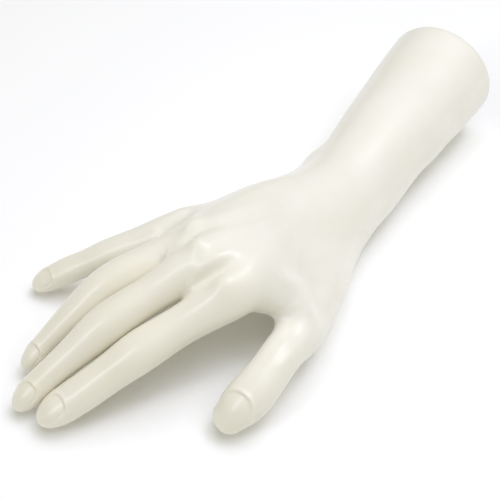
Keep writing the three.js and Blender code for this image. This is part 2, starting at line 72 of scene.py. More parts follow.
class Curve:
    """Curve through rows of numbers without kinks in its bend; a place on it is a length in millimetres."""

    def __init__(self, rows: Sequence[Sequence[float]]) -> None:
        """Work out the curve's cubic terms.

        Args:
            rows: Rows that the curve passes through: x, y, z and any other values.
        """
        given = np.asarray(rows, float)
        steps = np.linalg.norm(np.diff(given[:, :3], axis=0), axis=1)
        rises = np.diff(given, axis=0) / steps[:, None]
        inner = 2 * np.diag(steps[:-1] + steps[1:]) + np.diag(steps[1:-1], 1) + np.diag(steps[1:-1], -1)
        bends = np.zeros_like(given)
        bends[1:-1] = np.linalg.solve(inner, 6 * np.diff(rises, axis=0))
        first, last, step = bends[:-1], bends[1:], steps[:, None]
        self.stops = np.concatenate([[0.0], np.cumsum(steps)])
        slopes = rises - step * (2 * first + last) / 6
        self.terms = np.stack([given[:-1], slopes, first / 2, (last - first) / (6 * step)])

    def at(self, place: np.ndarray) -> tuple[np.ndarray, np.ndarray, np.ndarray]:
        """Give the rows, their slopes and their bends at places on the curve.

        Args:
            place: Lengths along the curve.

        Returns:
            The rows, their slopes and their bends.
        """
        i = np.clip(np.searchsorted(self.stops, place, side="right") - 1, 0, len(self.stops) - 2)
        t = (place - self.stops[i])[:, None]
        a, b, c, d = self.terms[:, i]
        return a + t * (b + t * (c + t * d)), b + t * (2 * c + 3 * t * d), 2 * c + 6 * t * d

    def places(self, steps: int) -> np.ndarray:
        """Spread places over the whole curve.

        Args:
            steps: Number of steps from one given row to the next.

        Returns:
            Lengths along the curve, from its first row to its last.
        """
        rows = np.arange(len(self.stops))
        shares = np.arange(steps * rows[-1] + 1) / steps
        return np.interp(shares, rows, self.stops)


def smooth_union(a: np.ndarray, b: np.ndarray, reach: float | np.ndarray) -> np.ndarray:
    """Join two distances with a soft fillet over a reach."""
    near = np.maximum(reach - np.abs(a - b), 0) / reach
    return np.minimum(a, b) - near * near * reach * 0.25


def smooth_cut(a: np.ndarray, b: np.ndarray, reach: float) -> np.ndarray:
    """Keep what lies inside both distances, with a round edge over a reach."""
    return -smooth_union(-a, -b, reach)


def ease(x: np.ndarray, low: float, high: float) -> np.ndarray:
    """Rise smoothly from 0 at low to 1 at high."""
    t = np.clip((x - low) / (high - low), 0, 1)
    return t * t * (3 - 2 * t)


def unit(vector: Sequence[float]) -> np.ndarray:
    """Scale a vector to length one."""
    v = np.asarray(vector, float)
    return v / np.linalg.norm(v)


def nearest(track: np.ndarray, points: np.ndarray) -> tuple[np.ndarray, np.ndarray, np.ndarray]:
    """Find the nearest place on a track for each point.

    Args:
        track: Points of a polyline.
        points: Points to place.

    Returns:
        Distances, numbers of the nearest stretch, and shares along that stretch.
    """
    best = np.full(len(points), np.inf)
    stretch = np.zeros(len(points), int)
    share = np.zeros(len(points))
    for i, (a, b) in enumerate(zip(track, track[1:])):
        along = b - a
        offset = points - a
        t = np.clip(offset @ along / (along @ along), 0, 1)
        gap = ((offset - t[:, None] * along) ** 2).sum(axis=1)
        closer = gap < best
        best[closer] = gap[closer]
        stretch[closer] = i
        share[closer] = t[closer]
    return np.sqrt(best), stretch, share


class Sweep:
    """Oval section swept along a smooth line, with round ends.

    Attributes:
        rounds: How often the nearest place on the line is made more exact.
        least_stiffness: Least share of the full step's divisor, which keeps a step short at sharp bends.
    """

    rounds: ClassVar[int] = 2
    least_stiffness: ClassVar[float] = 0.3

    def __init__(self, rows: Sequence[Row], stretch: float = 1.0) -> None:
        """Lay out the line and the section's half width and half height along it.

        Args:
            rows: x, y, z, half width and half height at each stop.
            stretch: How many times longer than a half ball the last end is.
        """
        self.curve = Curve(rows)
        self.stretch = stretch
        self.places = self.curve.places(SWEEP_STEPS)
        path = self.curve.at(self.places)[0]
        self.track = path[:, :3]
        margin = path[:, 3:].max() + REACH
        self.low = self.track.min(axis=0) - margin
        self.high = self.track.max(axis=0) + margin

    def place(self, points: np.ndarray) -> np.ndarray:
        """Find the place on the line that is nearest to each point.

        Args:
            points: Points round the sweep.

        Returns:
            Lengths along the line.
        """
        _, stretch, share = nearest(self.track, points)
        place = self.places[stretch] + share * np.diff(self.places)[stretch]
        for _ in range(self.rounds):
            row, slope, bend = self.curve.at(place)
            offset = points - row[:, :3]
            speed = (slope[:, :3] ** 2).sum(axis=1)
            pull = (offset * slope[:, :3]).sum(axis=1)
            stiff = speed - (offset * bend[:, :3]).sum(axis=1)
            step = pull / np.maximum(stiff, self.least_stiffness * speed)
            place = np.clip(place + step, 0, self.places[-1])
        return place

    def distance(self, points: np.ndarray) -> np.ndarray:
        """Measure how far points lie from the surface.

        Args:
            points: Points to measure.

        Returns:
            The distances, negative inside and FAR well away from the sweep.
        """
        out = np.full(len(points), FAR)
        close = np.all((points > self.low) & (points < self.high), axis=1)
        p = points[close]
        row, along, _ = self.curve.at(self.place(p))
        along = along[:, :3] / np.linalg.norm(along[:, :3], axis=1)[:, None]
        side = np.cross((0, 0, 1), along)
        side /= np.linalg.norm(side, axis=1)[:, None]
        top = np.cross(along, side)
        width, height = row[:, 3:].T
        least = np.minimum(width, height)
        q = p - row[:, :3]
        past = (q * along).sum(axis=1)
        past = np.where(past > 0, past / self.stretch, past)
        ratio = np.sqrt(((q * side).sum(axis=1) / width) ** 2 + ((q * top).sum(axis=1) / height) ** 2
                        + (past / least) ** 2)
        gap = np.linalg.norm(q, axis=1)
        out[close] = np.where(ratio > TINY, gap * (1 - 1 / np.maximum(ratio, TINY)), -least)
        return out


class Relief(Protocol):
    """Shallow form on the skin."""

    def height(self, points: np.ndarray, normals: np.ndarray) -> np.ndarray:
        """Give the skin's rise in millimetres at points of the smooth form with outward normals."""


@dataclass(frozen=True)
class Swell:
    """Soft rise over the end of a bone, or a hollow where the rise is negative."""

    centre: Triple
    radii: Triple
    rise: float

    def height(self, points: np.ndarray, normals: np.ndarray) -> np.ndarray:
        """Give the rise at each point."""
        offset = (points - np.array(self.centre)) / np.array(self.radii)
        return self.rise * np.exp(-(offset ** 2).sum(axis=1))


class Side(Enum):
    """Side of the hand that a line is drawn on, as the upward share of its skin's normals."""

    BACK = 1
    PALM = -1


@dataclass(frozen=True)
class Line:
    """Ridge over a tendon, or a groove where the rise is negative, that fades at both ends.

    Attributes:
        path: Points of the line as seen from above, x and y.
        half_width: Distance from the line at which the rise has mostly gone.
        rise: Height of the ridge.
        side: Side of the hand that the line is on.
        fade: Share of the line over which each end fades.
        margin_widths: How many half widths from the line the rise is worked out.
        facing_span: Upward shares of the normals between which the rise sets in.
    """

    path: tuple[Pair, ...]
    half_width: float
    rise: float
    side: Side = Side.BACK
    fade: float = 0.25
    margin_widths: ClassVar[float] = 3
    facing_span: ClassVar[Pair] = (0.0, 0.5)

    def height(self, points: np.ndarray, normals: np.ndarray) -> np.ndarray:
        """Give the rise at each point.

        Args:
            points: Points of the smooth form.
            normals: Outward normals there.

        Returns:
            The rises, all nought on the hand's other side.
        """
        out = np.zeros(len(points))
        curve = Curve(self.path)
        track = curve.at(curve.places(LINE_STEPS))[0]
        flat = points[:, :2]
        margin = self.margin_widths * self.half_width
        low = track.min(axis=0) - margin
        high = track.max(axis=0) + margin
        close = np.all((flat > low) & (flat < high), axis=1)
        gap, i, t = nearest(track, flat[close])
        share = (i + t) / (len(track) - 1)
        taper = ease(share, 0, self.fade) * ease(1 - share, 0, self.fade)
        facing = ease(self.side.value * normals[close, 2], *self.facing_span)
        out[close] = self.rise * np.exp(-(gap / self.half_width) ** 2) * taper * facing
        return out


@dataclass(frozen=True)
class Nail:
    """Nail moulded into a fingertip, in the frame of the digit's end bone.

    Attributes:
        joint: Centre of the end joint.
        tip: Centre of the rounded tip.
        fold: How far the nail fold lies behind the tip's centre.
        reach: How far the free edge lies past the tip's centre.
        half_width: Half of the nail's width.
        roll: Turn of the nail round the bone towards the thumb's side, in degrees.
        sink: How deep the nail lies below the fold.
        groove: Depth of the groove round the nail.
        rim: Height of the fold round the nail.
        flat: How much the nail is flattened across.
        corner_share: Radius of the outline's corners, in half widths.
        depth_share: How high over the bone the nail's zone ends, in half widths.
        length_share: How far along the bone the nail's zone goes, in folds.
        facing_span: Heights over the bone between which the relief sets in, in half widths.
        root_span: Where the fold starts to run out, in folds, and where it ends, in reaches.
        soft_edge: Half width of the step at the outline.
        groove_width: Half width of the groove.
        rim_offset: Distance of the fold's crest from the outline.
        rim_width: Half width of the fold.
    """

    joint: Triple
    tip: Triple
    fold: float
    reach: float
    half_width: float
    roll: float
    sink: float = 0.4
    groove: float = 0.3
    rim: float = 0.25
    flat: float = 0.3
    corner_share: ClassVar[float] = 0.95
    depth_share: ClassVar[float] = 2.5
    length_share: ClassVar[float] = 3
    facing_span: ClassVar[Pair] = (0.1, 0.5)
    root_span: ClassVar[Pair] = (-0.6, 0.1)
    soft_edge: ClassVar[float] = 0.3
    groove_width: ClassVar[float] = 0.4
    rim_offset: ClassVar[float] = 1.1
    rim_width: ClassVar[float] = 0.9

    def local(self, points: np.ndarray) -> tuple[np.ndarray, np.ndarray, np.ndarray]:
        """Turn points into distances along, across and out of the nail.

        Args:
            points: Points in the wrist's frame.

        Returns:
            The three distances.
        """
        along = unit(np.subtract(self.tip, self.joint))
        side = unit(np.cross((0, 0, 1), along))
        top = np.cross(along, side)
        turn = math.radians(self.roll)
        across = side * math.cos(turn) - top * math.sin(turn)
        out = top * math.cos(turn) + side * math.sin(turn)
        offset = points - np.array(self.tip)
        return offset @ along, offset @ across, offset @ out

    def edge(self, along: np.ndarray, across: np.ndarray) -> np.ndarray:
        """Measure how far a place lies outside the nail's outline.

        Args:
            along: Distances along the nail.
            across: Distances across it.

        Returns:
            The distances, negative on the nail.
        """
        corner = self.corner_share * self.half_width
        middle = (self.reach - self.fold) / 2
        x = np.abs(along - middle) - (self.reach + self.fold) / 2 + corner
        y = np.abs(across) - self.half_width + corner
        outside = np.hypot(np.maximum(x, 0), np.maximum(y, 0))
        return outside + np.minimum(np.maximum(x, y), 0) - corner

    def close(self, points: np.ndarray, margin: float) -> np.ndarray:
        """Tell which points lie on the nail or within a margin round it."""
        along, across, out = self.local(points)
        return (self.edge(along, across) < margin) & (out > 0) & (out < self.depth_share * self.half_width)

    def height(self, points: np.ndarray, normals: np.ndarray) -> np.ndarray:
        """Give the rise at each point.

        Args:
            points: Points of the smooth form.
            normals: Outward normals there; not used.

        Returns:
            The rises, with a fold round the root and sides that runs out towards the tip.
        """
        along, across, out = self.local(points)
        edge = self.edge(along, across)
        low, high = self.facing_span
        facing = ease(out, low * self.half_width, high * self.half_width)
        facing = facing * (np.abs(along) < self.length_share * self.fold)
        start, stop = self.root_span
        root = 1 - ease(along, start * self.fold, stop * self.reach)
        inside = ease(-edge, -self.soft_edge, self.soft_edge)
        rise = -self.sink * inside * (1 - ease(along, -self.fold, 0))
        rise = rise - self.groove * np.exp(-(edge / self.groove_width) ** 2) * root
        rise = rise + self.rim * np.exp(-((edge - self.rim_offset) / self.rim_width) ** 2) * root
        rise = rise + self.flat * inside * root * (across / self.half_width) ** 2
        return rise * facing


@dataclass(frozen=True)
class JointCrease:
    """Bending crease across the palm side of a digit at one of its joints.

    Attributes:
        joint: Centre of the joint.
        along: Direction of the digit there.
        radius: Half width of the digit there.
        depth: Depth of the crease.
        half_width: Distance from its middle at which it has mostly gone.
        reach_span: Distances from the joint, in radii and negative, between which it sets in.
        under_span: Downward shares of the normals between which it sets in.
    """

    joint: Triple
    along: Triple
    radius: float
    depth: float = 0.45
    half_width: float = 0.8
    reach_span: ClassVar[Pair] = (-1.7, -1.4)
    under_span: ClassVar[Pair] = (0.45, 0.85)

    def height(self, points: np.ndarray, normals: np.ndarray) -> np.ndarray:
        """Give the rise at each point.

        Args:
            points: Points of the smooth form.
            normals: Outward normals there.

        Returns:
            The rises, all negative.
        """
        way = unit(self.along)
        under = np.cross(way, np.cross(way, (0, 0, 1)))
        offset = points - np.array(self.joint)
        bend = offset @ way
        away = np.linalg.norm(offset, axis=1)
        low, high = self.reach_span
        mask = ease(-away, low * self.radius, high * self.radius)
        mask = mask * ease(normals @ unit(under), *self.under_span)
        return -self.depth * np.exp(-(bend / self.half_width) ** 2) * mask


@dataclass(frozen=True)
class FingerSizes:
    """Sizes of a finger.

    Attributes:
        root: Wrist end of the bone in the palm.
        knuckle: Centre of the knuckle.
        bones: Lengths of the three finger bones; the last one ends at the tip's centre.
        heading: Their headings in degrees from -X towards +Y.
        slope: Their slopes in degrees below level.
        widths: Half widths at the knuckle, mid bone, middle joint, mid bone, end joint and tip.
        web: Edge of the web towards the finger before it.
        fan: Side on which the finger is fanned out while its skin is drawn.
        nail: Fold, reach, half width and roll of the nail.
        palm: Half width and half height of the part in the palm, and how far it is arched.
    """

    root: Triple
    knuckle: Triple
    bones: Triple
    heading: Triple
    slope: Triple
    widths: tuple[float, float, float, float, float, float]
    web: float
    fan: float
    nail: tuple[float, float, float, float]
    palm: Triple = (9.0, 12.2, 2.0)

    def joints(self) -> list[np.ndarray]:
        """Place the knuckle, the two joints and the tip's centre.

        Returns:
            The four places, in the wrist's frame.
        """
        places = [np.array(self.knuckle)]
        for length, heading, slope in zip(self.bones, self.heading, self.slope):
            turn = math.radians(heading)
            fall = math.radians(slope)
            level = math.cos(fall)
            way = np.array((-level * math.cos(turn), level * math.sin(turn), -math.sin(fall)))
            places.append(places[-1] + length * way)
        return places


LITTLE = FingerSizes(
    root=(-6, -1.4, 17.2), knuckle=(-76.4, 20, 33.7), bones=(33.1, 23.6, 13.6), heading=(33.2, 35, 37.4),
    slope=(19.1, 27.2, 31.3), widths=(8.7, 7.5, 6.8, 6.3, 6.6, 5.5), web=-92, fan=1,
    nail=(9.3, 4.4, 3.6, 33), palm=(8.9, 10, 0.2))
RING = FingerSizes(
    root=(-6, 2.3, 23), knuckle=(-76, 2.4, 44.2), bones=(44.5, 32.5, 16.2), heading=(14.6, 9.3, 9.7),
    slope=(12.7, 31.7, 39.1), widths=(8.6, 8.5, 8.2, 7.5, 5.7, 4.8), web=-92, fan=1,
    nail=(9.3, 4.7, 3.8, 20), palm=(8.8, 13.4, 4.5))
MIDDLE = FingerSizes(
    root=(-6, -4.1, 21.2), knuckle=(-84.4, -11.5, 48), bones=(47.9, 32.1, 17.1), heading=(11.2, 10.2, 11.4),
    slope=(18.8, 29.9, 36.3), widths=(10.4, 8.3, 8.9, 7.6, 6.5, 6), web=-100, fan=0,
    nail=(10.0, 4.7, 4.1, 28), palm=(9.8, 12.5, 2.6))
INDEX = FingerSizes(
    root=(-6, -11.9, 19.2), knuckle=(-84.3, -30.2, 43.5), bones=(44.5, 28.9, 17.4),
    heading=(12.3, 15.7, 20.2), slope=(17.9, 27.9, 30.1), widths=(10.6, 8.4, 9.1, 8.3, 8.2, 7.3),
    web=-102, fan=-1, nail=(10.1, 5.8, 4.5, 24), palm=(9.6, 12.1, 1.9))


@dataclass(frozen=True)
class HandSizes:
    """Sizes of the whole hand, in the wrist's frame; a row is x, y, z, half width and half height.

    Attributes:
        fingers: The fingers, from the little finger to the index.
        finger_ratio: Half heights of a finger's sections as shares of their half widths.
        tip_share: Where a fingertip's oval end starts, as a share of the end bone.
        tip_swell: How many times wider than its tip a finger is there.
        thumb: Stops of the thumb, from the wrist to its tip.
        thumb_nail: Fold, reach, half width, roll, sink, groove and rim of the thumb's nail.
        arm: Stops of the forearm, from the wrist to its cut end.
        arm_run_on: How far the forearm runs on past the cut.
        outer_heel: Stops of the palm's heel on the little finger's side.
        thumb_heel: Stops of the palm's heel on the thumb's side.
        back_of_web: Stops of the fill between wrist and index knuckle.
        thumb_web: Stops of the web between thumb and index.
        back_of_wrist: Stops of the fill over the wrist.
        wrist_bone: Centre and radius of the bone on the outer side of the wrist.
        palm_blend: Fillet between the fingers in the palm.
        finger_blend: Fillet between the fingers past the webs.
        web_lead: How far past a web's edge its fillet starts.
        web_run: Length over which it grows to the palm's.
        web_fill: Fillet added at the web's edge.
        web_fill_run: Length over which it is added.
        thumb_blend: Least and greatest fillet round the thumb.
        thumb_blend_span: From where to where along X it grows.
        heel_blend: Fillet round the heels.
        web_blend: Fillet round the fills and the wrist bone.
        wrist_blend: Fillet between hand and forearm.
        table_round: Rounding where the hand touches the table.
        rim_round: Rounding of the forearm's rim.
        rim_wall: Width of the rim round the pad.
        ledge_width: Width of the ledge that the plate sits on.
        seat_depth: Depth of the ledge below the rim.
        pocket_depth: Depth of the room behind the plate.
        pad_proud: How far the pad stands out of the rim.
        pad_thickness: Thickness of the pad.
        clearance: Gap round the pad.
    """

    fingers: tuple[FingerSizes, ...] = (LITTLE, RING, MIDDLE, INDEX)
    finger_ratio: tuple[float, ...] = (1.08, 1.03, 0.97, 0.97, 0.92, 0.92)
    tip_share: float = 0.56
    tip_swell: float = 1.1
    thumb: tuple[Row, ...] = (
        (-18.2, -20.1, 14.7, 13.8, 11.5), (-38.3, -34.5, 18, 13.6, 12.6), (-61.1, -50.1, 17.2, 10.1, 10.5),
        (-74.1, -54.4, 20.7, 9.2, 9), (-89.7, -58.7, 18.6, 9.3, 8.7), (-101.6, -59.7, 13.6, 9.7, 8.8),
        (-108.2, -58, 7.3, 7.9, 6.9))
    thumb_nail: tuple[float, ...] = (12.2, 6.2, 6.4, 22, 0.45, 0.1, 0.6)
    arm: tuple[Row, ...] = (
        (-22, -4.4, 20.8, 19.6, 14.5), (14, -2.7, 18.6, 22.2, 18.8), (50, 9, 24, 24, 23.7),
        (80.75, 17.2, 26.8, 27.8, 26.1), (111.5, 25.4, 29.6, 29.4, 28.8))
    arm_run_on: float = 30.0
    outer_heel: tuple[Row, ...] = (
        (-6, 13.6, 14.3, 10.5, 10.2), (-30, 18.9, 15.9, 11.5, 11), (-58, 22.5, 23, 9, 9.5))
    thumb_heel: tuple[Row, ...] = (
        (-12, -11.9, 15.2, 9.7, 11), (-30, -24.7, 15.8, 14.6, 11), (-52, -36.3, 18, 10.2, 9.9))
    back_of_web: tuple[Row, ...] = (
        (-22, -14, 24, 9, 7), (-45, -25, 29, 11, 8), (-65.2, -34.7, 33.5, 8, 7))
    thumb_web: tuple[Row, ...] = (
        (-69.6, -32.2, 36.3, 6, 8), (-61.6, -40.5, 30.1, 6, 8), (-61.6, -48.9, 21.4, 6, 8))
    back_of_wrist: tuple[Row, ...] = (
        (-40, -9, 33, 13, 11), (-6, -4.6, 28.7, 12.7, 11),
        (32, 3.8, 29.2, 14.5, 13.5), (60, 7.6, 28.2, 16.2, 16))
    wrist_bone: tuple[float, float, float, float] = (11.9, 14.5, 23.6, 7.8)
    palm_blend: float = 16.0
    finger_blend: float = 0.6
    web_lead: float = 4.0
    web_run: float = 28.0
    web_fill: float = 5.0
    web_fill_run: float = 5.0
    thumb_blend: Pair = (1.5, 15.5)
    thumb_blend_span: Pair = (-75, -45)
    heel_blend: float = 10.0
    web_blend: float = 9.0
    wrist_blend: float = 16.0
    table_round: float = 1.0
    rim_round: float = 4.5
    rim_wall: float = 4.0
    ledge_width: float = 8.0
    seat_depth: float = 4.8
    pocket_depth: float = 36.0
    pad_proud: float = 0.8
    pad_thickness: float = 2.0
    clearance: float = 0.3


class BaseFrame:
    """Frame of the forearm's cut end: origin in the rim plane, third axis out along the forearm."""

    def __init__(self, sizes: HandSizes) -> None:
        """Set up the axes from the forearm's last two stops.

        Args:
            sizes: Sizes of the hand.
        """
        self.origin = np.array(sizes.arm[-1][:3])
        self.half_width, self.half_height = sizes.arm[-1][3:]
        self.axis = unit(self.origin - np.array(sizes.arm[-2][:3]))
        self.side = unit(np.cross((0, 0, 1), self.axis))
        self.top = np.cross(self.axis, self.side)

    def place(self, points: Iterable[Triple]) -> np.ndarray:
        """Turn points of this frame into points of the wrist's frame."""
        local = np.array(list(points), float)
        return self.origin + local @ np.array((self.side, self.top, self.axis))

    def oval(self, inset: float, height: float, sides: int) -> np.ndarray:
        """Draw the end section's oval.

        Args:
            inset: How far the oval is drawn in.
            height: Height over the rim plane.
            sides: Number of points.

        Returns:
            The points, in the wrist's frame.
        """
        turns = np.linspace(0, 2 * math.pi, sides, endpoint=False)
        across = (self.half_width - inset) * np.cos(turns)
        up = (self.half_height - inset) * np.sin(turns)
        return self.place(np.stack([across, up, np.full(sides, height)], axis=1))


SIZES = HandSizes()
BASE = BaseFrame(SIZES)


def frame_shift() -> np.ndarray:
    """Find the wrist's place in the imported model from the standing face's mount.

    Returns:
        The wrist's place in millimetres.
    """
    mounts = {m["name"]: m for m in frame["record"]["mounts"]}
    at = np.array(mounts["standing_face"]["pos_m"]) / MM
    return at - BASE.place([(0, 0, SIZES.pad_proud)])[0]


SHIFT = frame_shift()


class HandForm:
    """Smooth form of the whole hand as a signed distance.

    Attributes:
        fan_span: X at which the fingers are fanned out in full, and X at which they aren't any more.
        fan_width: How far they are fanned out.
        fan_share: Width over which two fingers share the move where they meet.
        firm: Least square of a slope when points are settled.
        probe: Step with which slopes are measured.
    """

    fan_span: ClassVar[Pair] = (-112.0, -97.0)
    fan_width: ClassVar[float] = 7.0
    fan_share: ClassVar[float] = 0.6
    firm: ClassVar[float] = 0.2
    probe: ClassVar[float] = 0.02

    def __init__(self, sizes: HandSizes) -> None:
        """Make the swept forms.

        Args:
            sizes: Sizes of the hand.
        """
        self.sizes = sizes
        self.fingers = [Sweep(self.finger_rows(f), self.tip_stretch(f)) for f in sizes.fingers]
        self.thumb = Sweep(sizes.thumb)
        end = np.array(sizes.arm[-1])
        end[:3] += sizes.arm_run_on * BASE.axis
        self.arm = Sweep([*sizes.arm, tuple(end)])
        self.heels = [Sweep(sizes.outer_heel), Sweep(sizes.thumb_heel)]
        self.fills = [Sweep(rows) for rows in (sizes.back_of_web, sizes.thumb_web, sizes.back_of_wrist)]

    def finger_rows(self, finger: FingerSizes) -> list[Row]:
        """List a finger's stops from the wrist to its tip.

        Args:
            finger: Sizes of the finger.

        Returns:
            The rows of its sweep.
        """
        a, b, c, d = finger.joints()
        root = np.array(finger.root)
        width, height, arch = finger.palm
        palm = (root + a) / 2 + np.array((0, 0, arch))
        stops = [a, (a + b) / 2, b, (b + c) / 2, c, c + self.sizes.tip_share * (d - c)]
        widths = [*finger.widths[:-1], self.sizes.tip_swell * finger.widths[-1]]
        rows = [(*p, width, height) for p in (root, palm)]
        return rows + [(*p, w, w * r) for p, w, r in zip(stops, widths, self.sizes.finger_ratio)]

    def tip_stretch(self, finger: FingerSizes) -> float:
        """Tell how many times longer than a half ball a fingertip's end is.

        Args:
            finger: Sizes of the finger.

        Returns:
            The stretch of its sweep's last end.
        """
        s = self.sizes
        tip = finger.widths[-1]
        length = (1 - s.tip_share) * finger.bones[-1] + tip
        return length / (s.tip_swell * tip * s.finger_ratio[-1])

    def fan(self, x: np.ndarray) -> np.ndarray:
        """Give how far the fingers are fanned out at each x while the skin is drawn."""
        return self.fan_width * (1 - ease(x, *self.fan_span))

    def finger_distances(self, points: np.ndarray, fanned: bool) -> np.ndarray:
        """Measure the distances to the fingers.

        Args:
            points: Points to measure.
            fanned: Whether the fingers are fanned out.

        Returns:
            The distances, one row for each finger.
        """
        out = []
        for sizes, sweep in zip(self.sizes.fingers, self.fingers):
            place = points.copy()
            if fanned:
                place[:, 1] -= sizes.fan * self.fan(points[:, 0])
            out.append(sweep.distance(place))
        return np.array(out)

    def owners(self, points: np.ndarray) -> np.ndarray:
        """Tell which finger's skin each point lies on."""
        return np.abs(self.finger_distances(points, False)).argmin(axis=0)

    def fanned_by(self, points: np.ndarray) -> np.ndarray:
        """Tell how far each point of the fanned skin was moved, shared softly where two fingers meet.

        Args:
            points: Points of the fanned skin.

        Returns:
            The moves along Y.
        """
        gaps = np.abs(self.finger_distances(points, True))
        shares = np.exp((gaps.min(axis=0) - gaps) / self.fan_share)
        fans = np.array([f.fan for f in self.sizes.fingers])
        return (fans @ shares) / shares.sum(axis=0) * self.fan(points[:, 0])

    def distance(self, points: np.ndarray, owners: np.ndarray | None = None,
                 fanned: bool = False) -> np.ndarray:
        """Measure how far points lie from the skin, negative inside.

        Args:
            points: Points in the wrist's frame.
            owners: Number of the finger that each point belongs to past the webs, if known.
            fanned: Whether the fingers are fanned out.

        Returns:
            The distances.
        """
        s = self.sizes
        x = points[:, 0]
        webs = np.array([f.web for f in s.fingers])
        total = np.full(len(points), FAR)
        for number, own in enumerate(self.finger_distances(points, fanned)):
            if owners is not None:
                web = webs[np.maximum(owners, number)]
                own = np.where((owners != number) & (x < web - s.web_lead), FAR, own)
            opened = ease(x, webs[number] - s.web_lead, webs[number] + s.web_run)
            filled = s.web_fill * ease(x, webs[number], webs[number] + s.web_fill_run)
            reach = s.finger_blend + filled + (s.palm_blend - s.finger_blend - s.web_fill) * opened
            total = smooth_union(total, own, reach)
        low, high = s.thumb_blend
        reach = low + (high - low) * ease(x, *s.thumb_blend_span)
        total = smooth_union(total, self.thumb.distance(points), reach)
        heels = smooth_union(*[heel.distance(points) for heel in self.heels], s.heel_blend)
        total = smooth_union(total, heels, s.heel_blend)
        for fill in self.fills:
            total = smooth_union(total, fill.distance(points), s.web_blend)
        total = smooth_union(total, self.arm.distance(points), s.wrist_blend)
        bone = np.linalg.norm(points - np.array(s.wrist_bone[:3]), axis=1) - s.wrist_bone[3]
        total = smooth_union(total, bone, s.web_blend)
        total = smooth_cut(total, -SHIFT[2] - points[:, 2], s.table_round)
        return smooth_cut(total, (points - BASE.origin) @ BASE.axis, s.rim_round)

    def settle(self, points: np.ndarray, rounds: int) -> tuple[np.ndarray, np.ndarray]:
        """Draw points onto the skin.

        Args:
            points: Points near the skin.
            rounds: How often each point is drawn in.

        Returns:
            The settled points and the skin's outward normals there.
        """
        owners = self.owners(points)
        for _ in range(rounds):
            here = self.distance(points, owners)
            moved = [self.distance(points + e, owners) for e in np.eye(3) * self.probe]
            slope = (np.stack(moved, axis=1) - here[:, None]) / self.probe
            square = np.maximum((slope ** 2).sum(axis=1), self.firm)
            points = points - (here / square)[:, None] * slope
        return points, slope / np.linalg.norm(slope, axis=1)[:, None]


def part_crossings(values: np.ndarray, rounds: int) -> None:
    """Change the sign of the weakest corner of each grid face on which the surface would cross itself.

    Args:
        values: Distances on the grid, changed in place.
        rounds: How often the grid is gone through at most.
    """
    for _ in range(rounds):
        found = 0
        for one, other in itertools.combinations(np.eye(3, dtype=int), 2):
            corners = np.array([0 * one, one, one + other, other])
            spans = [n - a - b for n, a, b in zip(values.shape, one, other)]
            signs = []
            for corner in corners:
                signs.append(values[tuple(slice(c, c + span) for c, span in zip(corner, spans))] < 0)
            crossed = (signs[0] == signs[2]) & (signs[1] == signs[3]) & (signs[0] != signs[1])
            for place in np.argwhere(crossed):
                around = [tuple(place + corner) for corner in corners]
                weakest = min(around, key=lambda p: abs(values[p]))
                values[weakest] = -values[weakest]
                found += 1
        if not found:
            return


def surface_net(distance: Callable[[np.ndarray], np.ndarray], low: np.ndarray, high: np.ndarray,
                cell: float) -> tuple[np.ndarray, np.ndarray]:
    """Draw the zero surface of a distance as quads, with one point in each crossed grid cell.

    Args:
        distance: Function from points to distances.
        low: Lowest corner of the grid.
        high: Highest corner of the grid.
        cell: Size of a grid cell.

    Returns:
        The points and the quads' corner numbers.
    """
    shape = np.ceil((high - low) / cell).astype(int) + 1
    axes = [low[k] + cell * np.arange(shape[k]) for k in range(3)]
    grid = np.stack(np.meshgrid(*axes, indexing="ij"), axis=-1).reshape(-1, 3)
    values = distance(grid).reshape(shape)
    part_crossings(values, PART_ROUNDS)
    inside = values < 0
    corners = list(itertools.product((0, 1), repeat=3))

    def at(array: np.ndarray, corner: Sequence[int]) -> np.ndarray:
        """Take the values at one corner of every cell."""
        return array[tuple(slice(c, n - 1 + c) for c, n in zip(corner, shape))]

    count = sum(at(inside, c).astype(int) for c in corners)
    crossed = (count > 0) & (count < len(corners))
    number = np.full(crossed.shape, -1)
    number[crossed] = np.arange(crossed.sum())
    total = np.zeros((crossed.sum(), 3))
    hits = np.zeros(crossed.sum())
    for a, b in itertools.combinations(corners, 2):
        if np.abs(np.subtract(a, b)).sum() == 1:
            first, second = at(values, a)[crossed], at(values, b)[crossed]
            cut = (first < 0) != (second < 0)
            share = np.where(cut, first / np.where(cut, first - second, 1), 0)
            total += cut[:, None] * (np.array(a) + share[:, None] * np.subtract(b, a))
            hits += cut
    points = low + cell * (np.argwhere(crossed) + total / hits[:, None])
    quads = []
    for k in range(3):
        step, left, back = np.roll(np.eye(3, dtype=int), -k, axis=0)
        edges = np.argwhere(np.diff(inside, axis=k))
        ring = [edges - left - back, edges - back, edges, edges - left]
        quad = np.stack([number[tuple(c.T)] for c in ring], axis=1)
        outward = inside[tuple(edges.T)]
        quad[~outward] = quad[~outward][:, ::-1]
        quads.append(quad)
    return points, np.concatenate(quads)


def nails(sizes: HandSizes) -> list[Nail]:
    """Make the five nails from the digits' sizes.

    Args:
        sizes: Sizes of the hand.

    Returns:
        The nails, the thumb's last.
    """
    out = []
    for finger in sizes.fingers:
        joint, tip = finger.joints()[-2:]
        out.append(Nail(tuple(joint), tuple(tip), *finger.nail))
    out.append(Nail(sizes.thumb[-3][:3], sizes.thumb[-1][:3], *sizes.thumb_nail))
    return out


